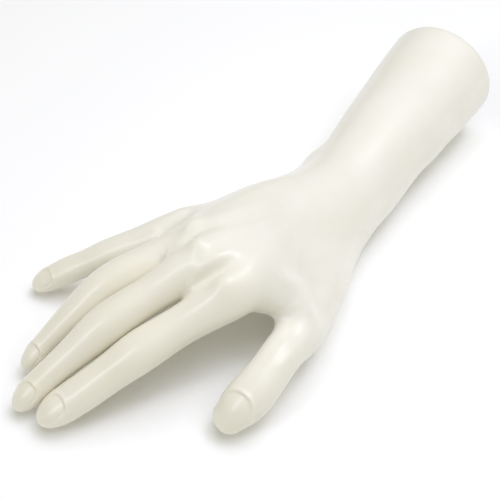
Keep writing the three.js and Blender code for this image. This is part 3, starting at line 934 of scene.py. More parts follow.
def joint_creases(sizes: HandSizes) -> list[JointCrease]:
    """Make the bending creases on the palm side of the digits.

    Args:
        sizes: Sizes of the hand.

    Returns:
        The creases.
    """
    out = []
    for finger in sizes.fingers:
        knuckle, middle, end, tip = finger.joints()
        first = knuckle + FIRST_CREASE * (middle - knuckle)
        out.append(JointCrease(tuple(first), tuple(middle - knuckle), finger.widths[1]))
        out.append(JointCrease(tuple(middle), tuple(end - knuckle), finger.widths[2]))
        out.append(JointCrease(tuple(end), tuple(tip - middle), finger.widths[4]))
    bend, tip = (np.array(sizes.thumb[i][:3]) for i in (-3, -1))
    out.append(JointCrease(tuple(bend), tuple(tip - bend), sizes.thumb[-3][3]))
    return out


KNUCKLES = (
    Swell((-72, 20, 44), (6, 5.5, 6), 1.1),
    Swell((-79.5, 1.8, 56.5), (5, 4.2, 6), 2.0),
    Swell((-86, -11.4, 60), (4.6, 4, 6), 2.2),
    Swell((-88, -30.5, 54), (5.5, 5, 6), 2.0),
)
KNUCKLE_VALLEYS = (
    Line(((-87, 20), (-81.4, 18.5), (-75.8, 17), (-64, 14)), 3.0, -1.1),
    Line(((-97, -3.2), (-90, -4.4), (-84, -3.4), (-79, -4.4), (-73, -8.6), (-60, -10.5)), 3.0, -2.0,
         fade=0.4),
    Line(((-101, -19.6), (-94.5, -22.4), (-88, -25), (-81.5, -26.6), (-73, -27.6)), 2.8, -2.0, fade=0.5),
)
KNUCKLE_FLANKS = (
    Line(((-99, -16), (-92, -18.2), (-86, -20.2), (-79.5, -21.6), (-70, -23)), 3.4, 1.9, fade=0.45),
)
TENDONS = (
    Line(((-70, -12.4), (-58, -12.5), (-48, -12.1), (-35, -13), (-22, -12)), 2.6, -0.7),
    Line(((-78, -16), (-62, -16.5), (-44, -15.5), (-24, -12), (0, -6)), 2.6, 0.35),
    Line(((-78, 0), (-62, -5), (-44, -6), (-24, -5), (0, -3)), 2.8, 0.35),
    Line(((-78, -32), (-62, -27), (-44, -21), (-22, -14)), 2.8, 0.25),
    Line(((-68, 18), (-52, 11), (-34, 6), (-12, 3)), 2.8, 0.4),
)
THUMB_LINES = (
    Line(((-66, -36), (-62, -40), (-57.7, -44.1), (-58.3, -50.3), (-59, -57)), 3.0, 1.1),
    Line(((-70, -54), (-80, -56.5), (-90, -59.5), (-100, -62)), 1.6, 0.35),
    Line(((-60, -58), (-70, -60), (-80, -62), (-90, -62.3)), 1.6, 0.35),
)
WEB_LINES = (
    Line(((-99, -18.6), (-97.5, -18.8), (-91.8, -19.7), (-90, -20)), 0.9, 0.3),
    Line(((-99, -4), (-98.2, -3.6), (-92.3, 1.2), (-91, 2)), 0.9, 0.3),
    Line(((-68, -46), (-66.5, -46.5), (-62.8, -47.5), (-61, -48)), 0.9, 0.25),
)
PALM_LINES = (
    Line(((-62, 28), (-72, 18), (-78, 4), (-82, -10), (-90, -20)), 1.0, -0.55, Side.PALM),
    Line(((-66, -38), (-64, -24), (-58, -8), (-50, 8), (-46, 18)), 1.0, -0.5, Side.PALM),
    Line(((-68, -38), (-58, -22), (-44, -9), (-26, -3), (-8, -4)), 1.1, -0.6, Side.PALM),
    Line(((3, -20), (5, -8), (5, 6), (3, 16)), 0.9, -0.4, Side.PALM),
    Line(((8, -20), (10, -8), (10, 6), (8, 16)), 0.8, -0.3, Side.PALM),
)


def to_model(points: np.ndarray) -> np.ndarray:
    """Turn points of the wrist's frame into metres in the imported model's frame."""
    return (points + SHIFT) * MM


def to_wrist(points: np.ndarray) -> np.ndarray:
    """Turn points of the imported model's frame into millimetres in the wrist's frame."""
    return points / MM - SHIFT


def read_points(mesh: bpy.types.Mesh) -> np.ndarray:
    """Read a mesh's points.

    Args:
        mesh: Mesh to read.

    Returns:
        The points, one row each.
    """
    flat = np.empty(3 * len(mesh.vertices))
    mesh.vertices.foreach_get("co", flat)
    return flat.reshape(-1, 3)


def write_points(mesh: bpy.types.Mesh, points: np.ndarray) -> None:
    """Move a mesh's points."""
    mesh.vertices.foreach_set("co", points.ravel())
    mesh.update()


def add_piece(name: str, mesh: bpy.types.Mesh) -> bpy.types.Object:
    """Put a mesh into the scene as a piece at the origin.

    Args:
        name: Name of the piece.
        mesh: Its mesh.

    Returns:
        The piece.
    """
    piece = bpy.data.objects.new(name, mesh)
    bpy.context.scene.collection.objects.link(piece)
    return piece


def baked(piece: bpy.types.Object) -> bpy.types.Mesh:
    """Turn a piece and its modifiers into a plain mesh."""
    graph = bpy.context.evaluated_depsgraph_get()
    return bpy.data.meshes.new_from_object(piece.evaluated_get(graph))


def dress(piece: bpy.types.Object, finish: bpy.types.Material) -> None:
    """Give a piece one material in the place of those it has."""
    piece.data.materials.clear()
    piece.data.materials.append(finish)


def shade(piece: bpy.types.Object, sharp_deg: float) -> None:
    """Shade a piece smooth, except where its faces meet at more than an angle in degrees."""
    piece.data.shade_smooth()
    piece.data.set_sharp_from_angle(angle=math.radians(sharp_deg))


def split_wide_faces(work: bmesh.types.BMesh) -> None:
    """Cut faces with more than four corners into triangles."""
    bmesh.ops.triangulate(work, faces=[f for f in work.faces if len(f.verts) > QUAD])


def loft(name: str, rings: Sequence[np.ndarray]) -> bpy.types.Mesh:
    """Skin rings of points and close both ends with a fan of flat faces.

    Args:
        name: Name of the mesh.
        rings: Rings of as many points each, in the wrist's frame.

    Returns:
        The mesh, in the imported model's frame.
    """
    sides = len(rings[0])
    points = np.vstack([*rings, rings[0].mean(axis=0), rings[-1].mean(axis=0)])
    first, last = len(points) - 2, len(points) - 1
    faces = []
    for j in range(sides):
        k = (j + 1) % sides
        faces.append((first, k, j))
        for low in range(0, sides * (len(rings) - 1), sides):
            faces.append((low + j, low + k, low + sides + k, low + sides + j))
        top = sides * (len(rings) - 1)
        faces.append((last, top + j, top + k))
    mesh = bpy.data.meshes.new(name)
    mesh.from_pydata(to_model(points).tolist(), [], faces)
    return mesh


class Shader:
    """Node material with short calls for the nodes that the finishes use."""

    def __init__(self, name: str) -> None:
        """Start a material with its shader and Object coordinates.

        Args:
            name: Name of the material.
        """
        self.material = bpy.data.materials.new(name)
        self.material.use_nodes = True
        self.tree = self.material.node_tree
        self.shader = self.tree.nodes["Principled BSDF"]
        self.coordinates = self.tree.nodes.new("ShaderNodeTexCoord").outputs["Object"]

    def set(self, **values: object) -> None:
        """Set the shader's own sockets; underscores in names stand for blanks."""
        for name, value in values.items():
            self.shader.inputs[name.replace("_", " ")].default_value = value

    def link(self, output: bpy.types.NodeSocket, socket: bpy.types.NodeSocket) -> None:
        """Join an output to a socket."""
        self.tree.links.new(output, socket)

    def feed(self, name: str, output: bpy.types.NodeSocket) -> None:
        """Join an output to one of the shader's own sockets."""
        self.link(output, self.shader.inputs[name])

    def noise(self, grain_mm: float, detail: float) -> bpy.types.NodeSocket:
        """Add noise.

        Args:
            grain_mm: Size of a grain.
            detail: Octaves of finer grain.

        Returns:
            Values from 0 to 1.
        """
        node = self.tree.nodes.new("ShaderNodeTexNoise")
        node.inputs["Scale"].default_value = 1 / (grain_mm * MM)
        node.inputs["Detail"].default_value = detail
        self.link(self.coordinates, node.inputs["Vector"])
        return node.outputs["Fac"]

    def cells(self, grain_mm: float) -> bpy.types.NodeSocket:
        """Add a cell pattern.

        Args:
            grain_mm: Size of a cell in millimetres.

        Returns:
            Distances from the cells' middles.
        """
        node = self.tree.nodes.new("ShaderNodeTexVoronoi")
        node.inputs["Scale"].default_value = 1 / (grain_mm * MM)
        self.link(self.coordinates, node.inputs["Vector"])
        return node.outputs["Distance"]

    def ramp(self, value: bpy.types.NodeSocket, low: Sequence[float], high: Sequence[float],
             span: Pair) -> bpy.types.NodeSocket:
        """Turn a value into a colour.

        Args:
            value: Value to turn.
            low: Colour at the span's start.
            high: Colour at its end.
            span: Values between which the colour changes.

        Returns:
            The colour.
        """
        node = self.tree.nodes.new("ShaderNodeValToRGB")
        for stop, place, colour in zip(node.color_ramp.elements, span, (low, high)):
            stop.position = place
            stop.color = (*colour, 1)
        self.link(value, node.inputs["Fac"])
        return node.outputs["Color"]

    def range(self, value: bpy.types.NodeSocket, low: float, high: float) -> bpy.types.NodeSocket:
        """Map a value from 0 to 1 onto a range.

        Args:
            value: Value to map.
            low: What 0 becomes.
            high: What 1 becomes.

        Returns:
            The mapped value.
        """
        node = self.tree.nodes.new("ShaderNodeMapRange")
        node.inputs["To Min"].default_value = low
        node.inputs["To Max"].default_value = high
        self.link(value, node.inputs["Value"])
        return node.outputs["Result"]

    def drift(self, colour: bpy.types.NodeSocket, tint: Triple, span: Pair) -> bpy.types.NodeSocket:
        """Tint a colour more and more along X.

        Args:
            colour: Colour to tint.
            tint: Factors for red, green and blue at the far end.
            span: Near end and far end, as X in metres.

        Returns:
            The tinted colour.
        """
        split = self.tree.nodes.new("ShaderNodeSeparateXYZ")
        share = self.tree.nodes.new("ShaderNodeMapRange")
        share.inputs["From Min"].default_value, share.inputs["From Max"].default_value = span
        mix = self.tree.nodes.new("ShaderNodeMixRGB")
        mix.blend_type = "MULTIPLY"
        mix.inputs["Color2"].default_value = (*tint, 1)
        self.link(self.coordinates, split.inputs["Vector"])
        self.link(split.outputs["X"], share.inputs["Value"])
        self.link(share.outputs["Result"], mix.inputs["Fac"])
        self.link(colour, mix.inputs["Color1"])
        return mix.outputs["Color"]

    def bump(self, height: bpy.types.NodeSocket, depth_mm: float, strength: float) -> None:
        """Roughen the surface by a height pattern.

        Args:
            height: Height pattern.
            depth_mm: Its depth.
            strength: How strongly it shows.
        """
        node = self.tree.nodes.new("ShaderNodeBump")
        node.inputs["Distance"].default_value = depth_mm * MM
        node.inputs["Strength"].default_value = strength
        self.link(height, node.inputs["Height"])
        self.link(node.outputs["Normal"], self.shader.inputs["Normal"])


@dataclass(frozen=True)
class PearlLacquer:
    """Pearl-white lacquer with a soft sheen, faint clouds and painted shade that darkens and warms the
    digits.
    """

    cream: Triple = (0.875, 0.85, 0.74)
    pearl: Triple = (0.89, 0.87, 0.775)
    # painted shade: the colour is darkened and warmed along X towards the fingertips, standing in for the
    # shade they lie in
    digit_painted_shade: Triple = (0.965, 0.95, 0.9)
    digit_shade_span: Pair = (-0.03, -0.095)
    cloud_mm: float = 22.0
    cloud_span: Pair = (0.3, 0.6)
    sheen_mm: float = 22.0 / 3
    roughness: Pair = (0.32, 0.4)
    coat: float = 0.45
    coat_roughness: float = 0.17
    index: float = 1.5
    flake_mm: float = 0.5
    flake_depth_mm: float = 0.01
    flake_strength: float = 0.25

    def material(self) -> bpy.types.Material:
        """Make the material from noise in Object coordinates.

        Returns:
            The material.
        """
        s = Shader("pearl_lacquer")
        clouds = s.ramp(s.noise(self.cloud_mm, detail=3.0), self.cream, self.pearl, self.cloud_span)
        # painted shade: darkens and warms the colour along X towards the fingertips
        s.feed("Base Color", s.drift(clouds, self.digit_painted_shade, self.digit_shade_span))
        s.feed("Roughness", s.range(s.noise(self.sheen_mm, detail=2.0), *self.roughness))
        s.set(IOR=self.index, Coat_IOR=self.index)
        s.set(Coat_Weight=self.coat, Coat_Roughness=self.coat_roughness)
        s.bump(s.noise(self.flake_mm, detail=1.0), self.flake_depth_mm, self.flake_strength)
        return s.material


@dataclass(frozen=True)
class MouldedPlastic:
    """White moulded plastic with a fine spark-eroded grain."""

    shade: Triple = (0.74, 0.725, 0.67)
    light: Triple = (0.8, 0.785, 0.735)
    cloud_mm: float = 12.0
    cloud_span: Pair = (0.3, 0.7)
    grain_mm: float = 0.35
    grain_depth_mm: float = 0.05
    grain_strength: float = 0.5
    roughness: Pair = (0.45, 0.65)

    def material(self) -> bpy.types.Material:
        """Make the material from noise in Object coordinates.

        Returns:
            The material.
        """
        s = Shader("moulded_plastic")
        clouds = s.noise(self.cloud_mm, detail=4.0)
        s.feed("Base Color", s.ramp(clouds, self.shade, self.light, self.cloud_span))
        s.feed("Roughness", s.range(s.noise(self.grain_mm, detail=2.0), *self.roughness))
        s.bump(s.noise(self.grain_mm, detail=2.0), self.grain_depth_mm, self.grain_strength)
        return s.material


@dataclass(frozen=True)
class PlatedSteel:
    """Dull zinc-plated steel with turning marks and a patchy bloom."""

    dull: Triple = (0.3, 0.31, 0.33)
    bright: Triple = (0.5, 0.51, 0.53)
    bloom_mm: float = 3.0
    bloom_span: Pair = (0.3, 0.7)
    mark_mm: float = 0.6
    roughness: Pair = (0.3, 0.5)
    grain_mm: float = 0.25
    grain_depth_mm: float = 0.02
    grain_strength: float = 0.3

    def material(self) -> bpy.types.Material:
        """Make the material from noise in Object coordinates.

        Returns:
            The material.
        """
        s = Shader("plated_steel")
        bloom = s.noise(self.bloom_mm, detail=5.0)
        s.feed("Base Color", s.ramp(bloom, self.dull, self.bright, self.bloom_span))
        s.feed("Roughness", s.range(s.noise(self.mark_mm, detail=3.0), *self.roughness))
        s.set(Metallic=1.0)
        s.bump(s.noise(self.grain_mm, detail=1.0), self.grain_depth_mm, self.grain_strength)
        return s.material


@dataclass(frozen=True)
class FoamRubber:
    """Dark closed-cell foam rubber with fine open pores on its cut face."""

    pore: Triple = (0.012, 0.012, 0.013)
    skin: Triple = (0.035, 0.036, 0.038)
    cell_mm: float = 0.55
    cell_span: Pair = (0.1, 0.5)
    cell_depth_mm: float = 0.25
    cell_strength: float = 0.6
    patch_mm: float = 2.0
    roughness: Pair = (0.82, 0.98)

    def material(self) -> bpy.types.Material:
        """Make the material from cells and noise in Object coordinates.

        Returns:
            The material.
        """
        s = Shader("foam_rubber")
        cells = s.cells(self.cell_mm)
        s.feed("Base Color", s.ramp(cells, self.pore, self.skin, self.cell_span))
        s.feed("Roughness", s.range(s.noise(self.patch_mm, detail=3.0), *self.roughness))
        s.bump(cells, self.cell_depth_mm, self.cell_strength)
        return s.material


@dataclass
class HandSkin:
    """Lacquered skin of the forearm, hand and digits, over both bonded half mouldings.

    Attributes:
        sizes: Sizes of the hand.
        cell: Size of a grid cell when the skin is drawn.
        low: Lowest corner of the grid.
        high: Highest corner of the grid.
        coarse_from: X past which the forearm keeps its coarse faces.
        rim_zone: Width of the finer zone at the forearm's rim.
        gap_from: X past which the gaps between fingers are cut finer.
        gap_margin: Width of that zone at each gap.
        nail_margin: Width of the finer zone round a nail.
        edge_margin: Width of the finest zone along a nail's outline.
        pocket_sides: Number of sides of the pocket in the forearm's end.
        settle_rounds: How often the drawn points are settled onto the form.
        levels: How often faces are cut finer.
        sharp_deg: Angle from which an edge is shaded sharp.
        form: Smooth form of the hand.
    """

    sizes: HandSizes = SIZES
    cell: float = 2.05
    low: Triple = (-184, -78, -8)
    high: Triple = (122, 82, 68)
    coarse_from: float = 15.0
    rim_zone: float = 7.0
    gap_from: float = -84.0
    gap_margin: float = 2.2
    nail_margin: float = 2.4
    edge_margin: float = 1.3
    pocket_sides: int = 96
    settle_rounds: int = 3
    levels: int = 3
    sharp_deg: float = 50.0
    form: HandForm = field(default_factory=lambda: HandForm(SIZES))

    def smooth_mesh(self) -> bpy.types.Mesh:
        """Draw the skin with the fingers fanned out, bring them back and settle the points.

        Returns:
            The coarse skin.
        """
        form = self.form
        points, quads = surface_net(lambda p: form.distance(p, fanned=True), np.array(self.low),
                                    np.array(self.high), self.cell)
        points[:, 1] -= form.fanned_by(points)
        points, _ = form.settle(points, self.settle_rounds)
        mesh = bpy.data.meshes.new("hand_skin")
        mesh.from_pydata(to_model(points).tolist(), [], quads.tolist())
        return mesh

    def chosen(self, middles: np.ndarray, level: int) -> np.ndarray:
        """Tell which faces are cut at a level.

        Args:
            middles: Middles of the faces, in the wrist's frame.
            level: 0 for hand and rim, 1 for nails and gaps, 2 for the nails' outlines.

        Returns:
            Whether each face is cut.
        """
        if level == 0:
            rim = (middles - BASE.origin) @ BASE.axis > -self.rim_zone
            return (middles[:, 0] < self.coarse_from) | rim
        marks = nails(self.sizes)
        if level == 1:
            gaps = np.sort(self.form.finger_distances(middles, False), axis=0)[1]
            near = (np.abs(gaps) < self.gap_margin) & (middles[:, 0] < self.gap_from)
            return near | np.any([n.close(middles, self.nail_margin) for n in marks], axis=0)
        out = np.zeros(len(middles), bool)
        for nail in marks:
            along, across, _ = nail.local(middles)
            out |= nail.close(middles, self.edge_margin) & (nail.edge(along, across) > -self.edge_margin)
        return out

    def refine(self, mesh: bpy.types.Mesh) -> None:
        """Cut faces into four, level by level, and then faces with odd corners into triangles.

        Args:
            mesh: Skin to refine.
        """
        work = bmesh.new()
        work.from_mesh(mesh)
        for level in range(self.levels):
            faces = work.faces[:]
            middles = to_wrist(np.array([f.calc_center_median() for f in faces]))
            chosen = self.chosen(middles, level)
            edges = list({e for f, c in zip(faces, chosen) if c for e in f.edges})
            bmesh.ops.subdivide_edges(work, edges=edges, cuts=1, use_grid_fill=True)
        split_wide_faces(work)
        work.to_mesh(mesh)
        work.free()

    def carve(self, mesh: bpy.types.Mesh) -> None:
        """Settle the refined points and raise the knuckles, tendons, creases and nails.

        Args:
            mesh: Refined skin.
        """
        points, normals = self.form.settle(to_wrist(read_points(mesh)), rounds=1)
        reliefs: list[Relief] = [*KNUCKLES, *KNUCKLE_VALLEYS, *KNUCKLE_FLANKS, *TENDONS]
        reliefs += [*THUMB_LINES, *WEB_LINES, *PALM_LINES, *nails(self.sizes), *joint_creases(self.sizes)]
        rise = sum(r.height(points, normals) for r in reliefs)
        write_points(mesh, to_model(points + normals * rise[:, None]))

    def pocket(self) -> bpy.types.Object:
        """Make the space in the forearm's end: the plate's seat and the room for the ballast.

        Returns:
            The space as a piece to cut with.
        """
        s = self.sizes
        seat = s.rim_wall
        room = s.rim_wall + s.ledge_width
        stops = ((room, -s.pocket_depth), (room, -s.seat_depth), (seat, -s.seat_depth), (seat, s.rim_round))
        rings = [BASE.oval(inset, height, self.pocket_sides) for inset, height in stops]
        return add_piece("end_pocket", loft("end_pocket", rings))

    def clean(self, mesh: bpy.types.Mesh) -> None:
        """Dissolve points that only two edges meet in and cut faces with many corners into triangles.

        Args:
            mesh: Skin after the pocket is cut.
        """
        work = bmesh.new()
        work.from_mesh(mesh)
        bmesh.ops.dissolve_verts(work, verts=[v for v in work.verts if len(v.link_edges) == 2])
        split_wide_faces(work)
        work.to_mesh(mesh)
        work.free()

    def build(self, finish: bpy.types.Material) -> bpy.types.Object:
        """Make the skin, dress it and set it in the place of both shells.

        Args:
            finish: Material of the skin.

        Returns:
            The finished piece.
        """
        mesh = self.smooth_mesh()
        log.info("skin drawn: %d points", len(mesh.vertices))
        self.refine(mesh)
        self.carve(mesh)
        log.info("skin carved: %d points", len(mesh.vertices))
        draft = add_piece("skin_draft", mesh)
        cutter = self.pocket()
        cut = draft.modifiers.new("pocket", "BOOLEAN")
        cut.operation = "DIFFERENCE"
        cut.solver = "MANIFOLD"
        cut.object = cutter
        skin = add_piece("hand_skin", baked(draft))
        self.clean(skin.data)
        for scrap in (draft, cutter):
            bpy.data.objects.remove(scrap)
        dress(skin, finish)
        shade(skin, self.sharp_deg)
        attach(skin, BODY)
        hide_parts("back_shell", "palm_shell")
        return skin


@dataclass
class StandingPad:
    """Foam pad in the rim that the hand can stand on, with a softly rounded edge."""

    sizes: HandSizes = SIZES
    sides: int = 128
    edge: float = 0.7
    edge_turns: tuple[float, ...] = (0, 30, 60, 90)
    face_insets: tuple[float, ...] = (4, 10, 17, 24)
    sharp_deg: float = 50.0

    def build(self, finish: bpy.types.Material) -> bpy.types.Object:
        """Make the pad and set it in the place of its plain solid.

        Args:
            finish: Material of the pad.

        Returns:
            The finished piece.
        """
        s = self.sizes
        inset = s.rim_wall + s.clearance
        top = s.pad_proud
        stops = [(inset, top - s.pad_thickness)]
        for turn in map(math.radians, self.edge_turns):
            stops.append((inset + self.edge * (1 - math.cos(turn)), top - self.edge * (1 - math.sin(turn))))
        stops += [(inset + more, top) for more in self.face_insets]
        rings = [BASE.oval(*stop, self.sides) for stop in stops]
        pad = add_piece("standing_pad", loft("standing_pad", rings))
        dress(pad, finish)
        shade(pad, self.sharp_deg)
        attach(pad, BODY)
        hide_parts("base_pad")
        return pad


@dataclass(frozen=True)
class ScrewSizes:
    """Sizes of a countersunk screw, measured down from its head's flat."""

    head_radius: float
    head_height: float
    radius: float
    length: float
    pitch: float
    recess_radius: float
    recess_depth: float


@dataclass
class CrossScrews:
    """Countersunk cross-recess screws, set out on places by one node tree.

    Attributes:
        name: Name of the piece.
        size: Sizes of one screw.
        nodes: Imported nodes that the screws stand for.
        sides: Number of points round a screw.
        head_rim: Height of the head's rim.
        thread_depth: Depth of the thread.
        point_share: Radius of the point as a share of the shank's.
        lobes: Number of lobes of the recess.
        lobe_power: How sharply the lobes stand out.
        waist_share: Radius between two lobes as a share of the recess's.
        lobe_share: What a lobe adds to that share.
        recess_taper: Share by which the recess narrows to its floor.
        flat_band: Height in metres within which a packed screw's points count as its head's flat.
        sharp_deg: Angle from which an edge is shaded sharp.
    """

    name: str
    size: ScrewSizes
    nodes: Sequence[str]
    sides: ClassVar[int] = 32
    head_rim: ClassVar[float] = 0.15
    thread_depth: ClassVar[float] = 0.12
    point_share: ClassVar[float] = 0.35
    lobes: ClassVar[int] = 4
    lobe_power: ClassVar[int] = 3
    waist_share: ClassVar[float] = 0.42
    lobe_share: ClassVar[float] = 0.58
    recess_taper: ClassVar[float] = 0.45
    flat_band: ClassVar[float] = 1e-5
    sharp_deg: ClassVar[float] = 30.0

    def profile(self) -> list[tuple[float, float]]:
        """List radius and height down the screw.

        Returns:
            The stops, from the rim of the head over the thread to the point.
        """
        s = self.size
        shank = s.radius - self.thread_depth
        stops = [(s.head_radius, 0.0), (s.head_radius, -self.head_rim), (s.radius, -s.head_height)]
        turns = int((s.length - s.head_height - s.pitch) / s.pitch)
        for i in range(turns):
            start = -s.head_height - (i + 0.5) * s.pitch
            stops += [(shank, start), (s.radius, start - 0.5 * s.pitch)]
        return [*stops, (shank, -s.length + s.pitch / 2), (self.point_share * shank, -s.length)]

    def recess(self, turn: float, depth: float) -> tuple[float, float]:
        """Give the cross recess's outline.

        Args:
            turn: Angle round the screw's axis.
            depth: Share of the recess's depth.

        Returns:
            Radius and height.
        """
        s = self.size
        lobe = abs(math.cos(self.lobes * turn / 2)) ** self.lobe_power
        star = self.waist_share + self.lobe_share * lobe
        radius = s.recess_radius * star * (1 - self.recess_taper * depth)
        return radius, -depth * s.recess_depth

    def one(self) -> bpy.types.Object:
        """Make one screw standing on its axis with its head's flat at the origin.

        Returns:
            The screw.
        """
        turns = [2 * math.pi * j / self.sides for j in range(self.sides)]
        stops: list[list[tuple[float, float]]] = [[self.recess(t, 1.0) for t in turns]]
        stops.append([self.recess(t, 0.0) for t in turns])
        stops += [[stop] * self.sides for stop in self.profile()]
        rings = [[(r * math.cos(t) * MM, r * math.sin(t) * MM, h * MM) for t, (r, h) in zip(turns, ring)]
                 for ring in stops]
        mesh = bpy.data.meshes.new("one_screw")
        points = [p for ring in rings for p in ring]
        faces = []
        for low in range(0, len(points) - self.sides, self.sides):
            for j in range(self.sides):
                k = (j + 1) % self.sides
                faces.append((low + j, low + self.sides + j, low + self.sides + k, low + k))
        faces.append(tuple(range(self.sides)))
        faces.append(tuple(reversed(range(len(points) - self.sides, len(points)))))
        mesh.from_pydata(points, [], faces)
        return add_piece("one_screw", mesh)

    def heads(self) -> list[np.ndarray]:
        """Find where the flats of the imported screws' heads lie.

        Returns:
            The places in metres.
        """
        out = []
        for node in self.nodes:
            points = read_points(frame["nodes"][node].data)
            height = points @ BASE.axis
            out.append(points[height > height.max() - self.flat_band].mean(axis=0))
        return out

    def tree(self, screw: bpy.types.Object, finish: bpy.types.Material) -> bpy.types.NodeTree:
        """Build the tree that sets the screw on every place, turned onto the forearm's axis.

        Args:
            screw: Screw to set.
            finish: Material of the screws.

        Returns:
            The node tree.
        """
        tree = bpy.data.node_groups.new("set_out_screws", "GeometryNodeTree")
        for name, way, kind in (
                ("Geometry", "INPUT", "Geometry"), ("Turn", "INPUT", "Rotation"),
                ("Size", "INPUT", "Float"), ("Geometry", "OUTPUT", "Geometry")):
            tree.interface.new_socket(name, in_out=way, socket_type=f"NodeSocket{kind}")
        kinds = {
            "places": "NodeGroupInput",
            "screw": "GeometryNodeObjectInfo",
            "set": "GeometryNodeInstanceOnPoints",
            "real": "GeometryNodeRealizeInstances",
            "dress": "GeometryNodeSetMaterial",
            "out": "NodeGroupOutput",
        }
        nodes = {key: tree.nodes.new(kind) for key, kind in kinds.items()}
        nodes["screw"].inputs["Object"].default_value = screw
        nodes["dress"].inputs["Material"].default_value = finish
        for a, output, b, socket in (
                ("places", "Geometry", "set", "Points"), ("places", "Turn", "set", "Rotation"),
                ("places", "Size", "set", "Scale"), ("screw", "Geometry", "set", "Instance"),
                ("set", "Instances", "real", "Geometry"), ("real", "Geometry", "dress", "Geometry"),
                ("dress", "Geometry", "out", "Geometry")):
            tree.links.new(nodes[a].outputs[output], nodes[b].inputs[socket])
        return tree

    def build(self, finish: bpy.types.Material) -> bpy.types.Object:
        """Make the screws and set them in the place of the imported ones.

        Args:
            finish: Material of the screws.

        Returns:
            The finished piece.
        """
        places = bpy.data.meshes.new("screw_places")
        places.from_pydata([tuple(p) for p in self.heads()], [], [])
        draft = add_piece("screw_draft", places)
        screw = self.one()
        tree = self.tree(screw, finish)
        setter = draft.modifiers.new("screws", "NODES")
        setter.node_group = tree
        inputs = [item for item in tree.interface.items_tree if item.in_out == "INPUT"]
        sockets = {item.name: item.identifier for item in inputs}
        axes = Matrix(np.array((BASE.side, BASE.top, BASE.axis)).T.tolist())
        setter[sockets["Turn"]] = axes.to_euler()
        setter[sockets["Size"]] = 1.0
        screws = add_piece(self.name, baked(draft))
        for scrap in (draft, screw):
            bpy.data.objects.remove(scrap)
        screws.data.set_sharp_from_angle(angle=math.radians(self.sharp_deg))
        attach(screws, BODY)
        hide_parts(*self.nodes)
        return screws


@dataclass
class EndFittings:
    """Plate, ballast and screws in the forearm's end."""

    base_screw: ScrewSizes = ScrewSizes(2.6, 1.5, 1.4, 10.0, 0.9, 1.5, 1.0)
    ballast_screw: ScrewSizes = ScrewSizes(4.6, 2.2, 2.5, 14.0, 1.1, 2.6, 1.6)

    def build(self, plastic: bpy.types.Material, steel: bpy.types.Material) -> list[bpy.types.Object]:
        """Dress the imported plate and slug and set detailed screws.

        Args:
            plastic: Material of the plate.
            steel: Material of the slug and the screws.

        Returns:
            The dressed and new pieces.
        """
        dressed = []
        for node, finish in (("base_plate", plastic), ("ballast_weight", steel)):
            piece = frame["nodes"][node]
            dress(piece, finish)
            dressed.append(piece)
        names = [f"base_screw_{i}" for i in (1, 2, 3)]
        dressed.append(CrossScrews("end_screws", self.base_screw, names).build(steel))
        dressed.append(CrossScrews("slug_screw", self.ballast_screw, ["ballast_screw"]).build(steel))
        return dressed


@dataclass(frozen=True)
class SoftLight:
    """Rectangular light that is turned to the hand.

    Attributes:
        name: Name of the light.
        place: Its place in metres.
        size: Its length and width in metres.
        power: Its power in watts.
        mirrored: Whether the lacquer mirrors it.
    """

    name: str
    place: Triple
    size: Pair
    power: float
    mirrored: bool = True


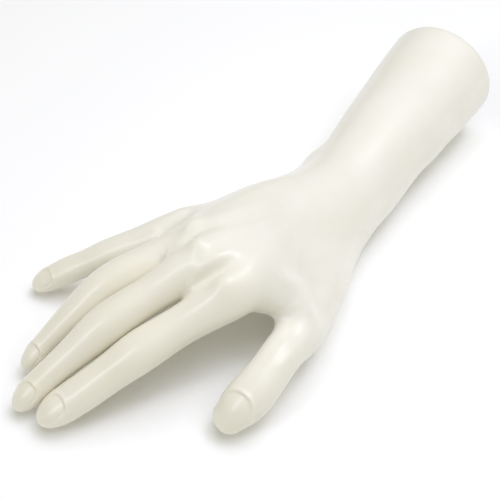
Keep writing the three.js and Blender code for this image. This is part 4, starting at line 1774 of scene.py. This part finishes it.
@dataclass
class Studio:
    """Pale floor, soft lights and the camera.

    Attributes:
        azimuth: Turn of the camera round the hand in degrees.
        elevation: Its height over the table in degrees.
        roll: Its turn about its own axis in degrees.
        distance_mm: Its distance from the target.
        target: Point in the picture's middle, in the wrist's frame.
        focal_px: Focal length in pixels of the picture.
        image_px: Width of the picture in pixels.
        sensor_mm: Width of the camera's sensor.
        clip_start: Nearest distance that the camera sees, in metres.
        floor_size: Side of the floor in metres.
        floor_tones: The two tones of the floor.
        floor_cloud_mm: Size of the patches between the two tones.
        floor_span: Noise values between which the tone changes.
        floor_roughness: Roughness of the floor.
        lights: The lights.
        aim: Point that the lights are turned to, in metres.
        light_tint: Colour of the lights.
        surround_tint: Colour of the light from all round.
        surround: Strength of the light from all round.
    """

    azimuth: float = -40.7
    elevation: float = 48.7
    roll: float = 0.64
    distance_mm: float = 417.0
    target: Triple = (-54.74, -7.82, 30)
    focal_px: float = 921.4
    image_px: float = 500.0
    sensor_mm: float = 36.0
    clip_start: float = 0.01
    floor_size: float = 40.0
    floor_tones: tuple[Triple, Triple] = ((0.99, 0.99, 0.975), (0.995, 0.995, 0.98))
    floor_cloud_mm: float = 300.0
    floor_span: Pair = (0.3, 0.7)
    floor_roughness: float = 0.9
    lights: tuple[SoftLight, ...] = (
        SoftLight("strip_light", (-0.95, 0.05, 0.62), (0.14, 0.9), 2.4),
        SoftLight("soft_light", (0.24, -0.14, 1.12), (1.1, 1.1), 11.0, mirrored=False),
        SoftLight("small_light", (0.3, -0.2, 1.1), (0.3, 0.3), 1.4),
    )
    aim: Triple = (0, 0, 0.03)
    light_tint: Triple = (0.85, 0.86, 1.0)
    surround_tint: Triple = (1.0, 0.985, 0.76)
    surround: float = 0.34

    def floor(self) -> bpy.types.Object:
        """Lay a plain pale floor.

        Returns:
            The floor.
        """
        half = self.floor_size / 2
        mesh = bpy.data.meshes.new("floor")
        corners = [(-half, -half, 0), (half, -half, 0), (half, half, 0), (-half, half, 0)]
        mesh.from_pydata(corners, [], [(0, 1, 2, 3)])
        floor = add_piece("floor", mesh)
        s = Shader("pale_floor")
        clouds = s.noise(self.floor_cloud_mm, detail=2.0)
        s.feed("Base Color", s.ramp(clouds, *self.floor_tones, self.floor_span))
        s.set(Roughness=self.floor_roughness)
        dress(floor, s.material)
        return floor

    def axes(self) -> tuple[np.ndarray, np.ndarray, np.ndarray]:
        """Work out the camera's right, up and backward directions.

        Returns:
            The three directions, each of length one.
        """
        a, e, r = map(math.radians, (self.azimuth, self.elevation, self.roll))
        back = np.array((math.sin(a) * math.cos(e), -math.cos(a) * math.cos(e), math.sin(e)))
        right = unit(np.cross(-back, (0, 0, 1)))
        up = np.cross(back, right)
        return (right * math.cos(r) + up * math.sin(r), up * math.cos(r) - right * math.sin(r), back)

    def camera(self) -> bpy.types.Object:
        """Set the camera at the photograph's viewing angle.

        Returns:
            The camera.
        """
        right, up, back = self.axes()
        data = bpy.data.cameras.new("camera")
        data.sensor_width = self.sensor_mm
        data.lens = data.sensor_width * self.focal_px / self.image_px
        data.clip_start = self.clip_start
        camera = bpy.data.objects.new("camera", data)
        bpy.context.scene.collection.objects.link(camera)
        place = to_model(np.array(self.target) + self.distance_mm * back)
        turn = np.array((right, up, back)).T
        camera.matrix_world = Matrix.Translation(place) @ Matrix(turn.tolist()).to_4x4()
        bpy.context.scene.camera = camera
        return camera

    def hang(self, light: SoftLight) -> None:
        """Hang a light, turned to the hand.

        Args:
            light: What to hang and where.
        """
        data = bpy.data.lights.new(light.name, "AREA")
        data.shape = "RECTANGLE"
        data.size, data.size_y = light.size
        data.energy = light.power
        data.color = self.light_tint
        lamp = bpy.data.objects.new(light.name, data)
        lamp.visible_glossy = light.mirrored
        bpy.context.scene.collection.objects.link(lamp)
        lamp.location = light.place
        way = Vector(self.aim) - Vector(light.place)
        lamp.rotation_euler = way.to_track_quat("-Z", "Y").to_euler()

    def build(self) -> None:
        """Set up the floor, the camera, the lights and the surrounding light."""
        self.floor()
        self.camera()
        for light in self.lights:
            self.hang(light)
        world = bpy.data.worlds.new("studio")
        world.use_nodes = True
        around = world.node_tree.nodes["Background"]
        around.inputs["Color"].default_value = (*self.surround_tint, 1)
        around.inputs["Strength"].default_value = self.surround
        scene = bpy.context.scene
        scene.world = world
        scene.view_settings.view_transform = "Standard"


def main() -> None:
    """Build the hand and its studio and report each piece."""
    logging.basicConfig(level=logging.INFO, format="%(name)s: %(message)s")
    Studio().build()
    pieces = [
        HandSkin().build(PearlLacquer().material()),
        StandingPad().build(FoamRubber().material()),
        *EndFittings().build(MouldedPlastic().material(), PlatedSteel().material()),
    ]
    for piece in pieces:
        log.info("%s: %d faces", piece.name, len(piece.data.polygons))


if __name__ == "__main__":
    main()
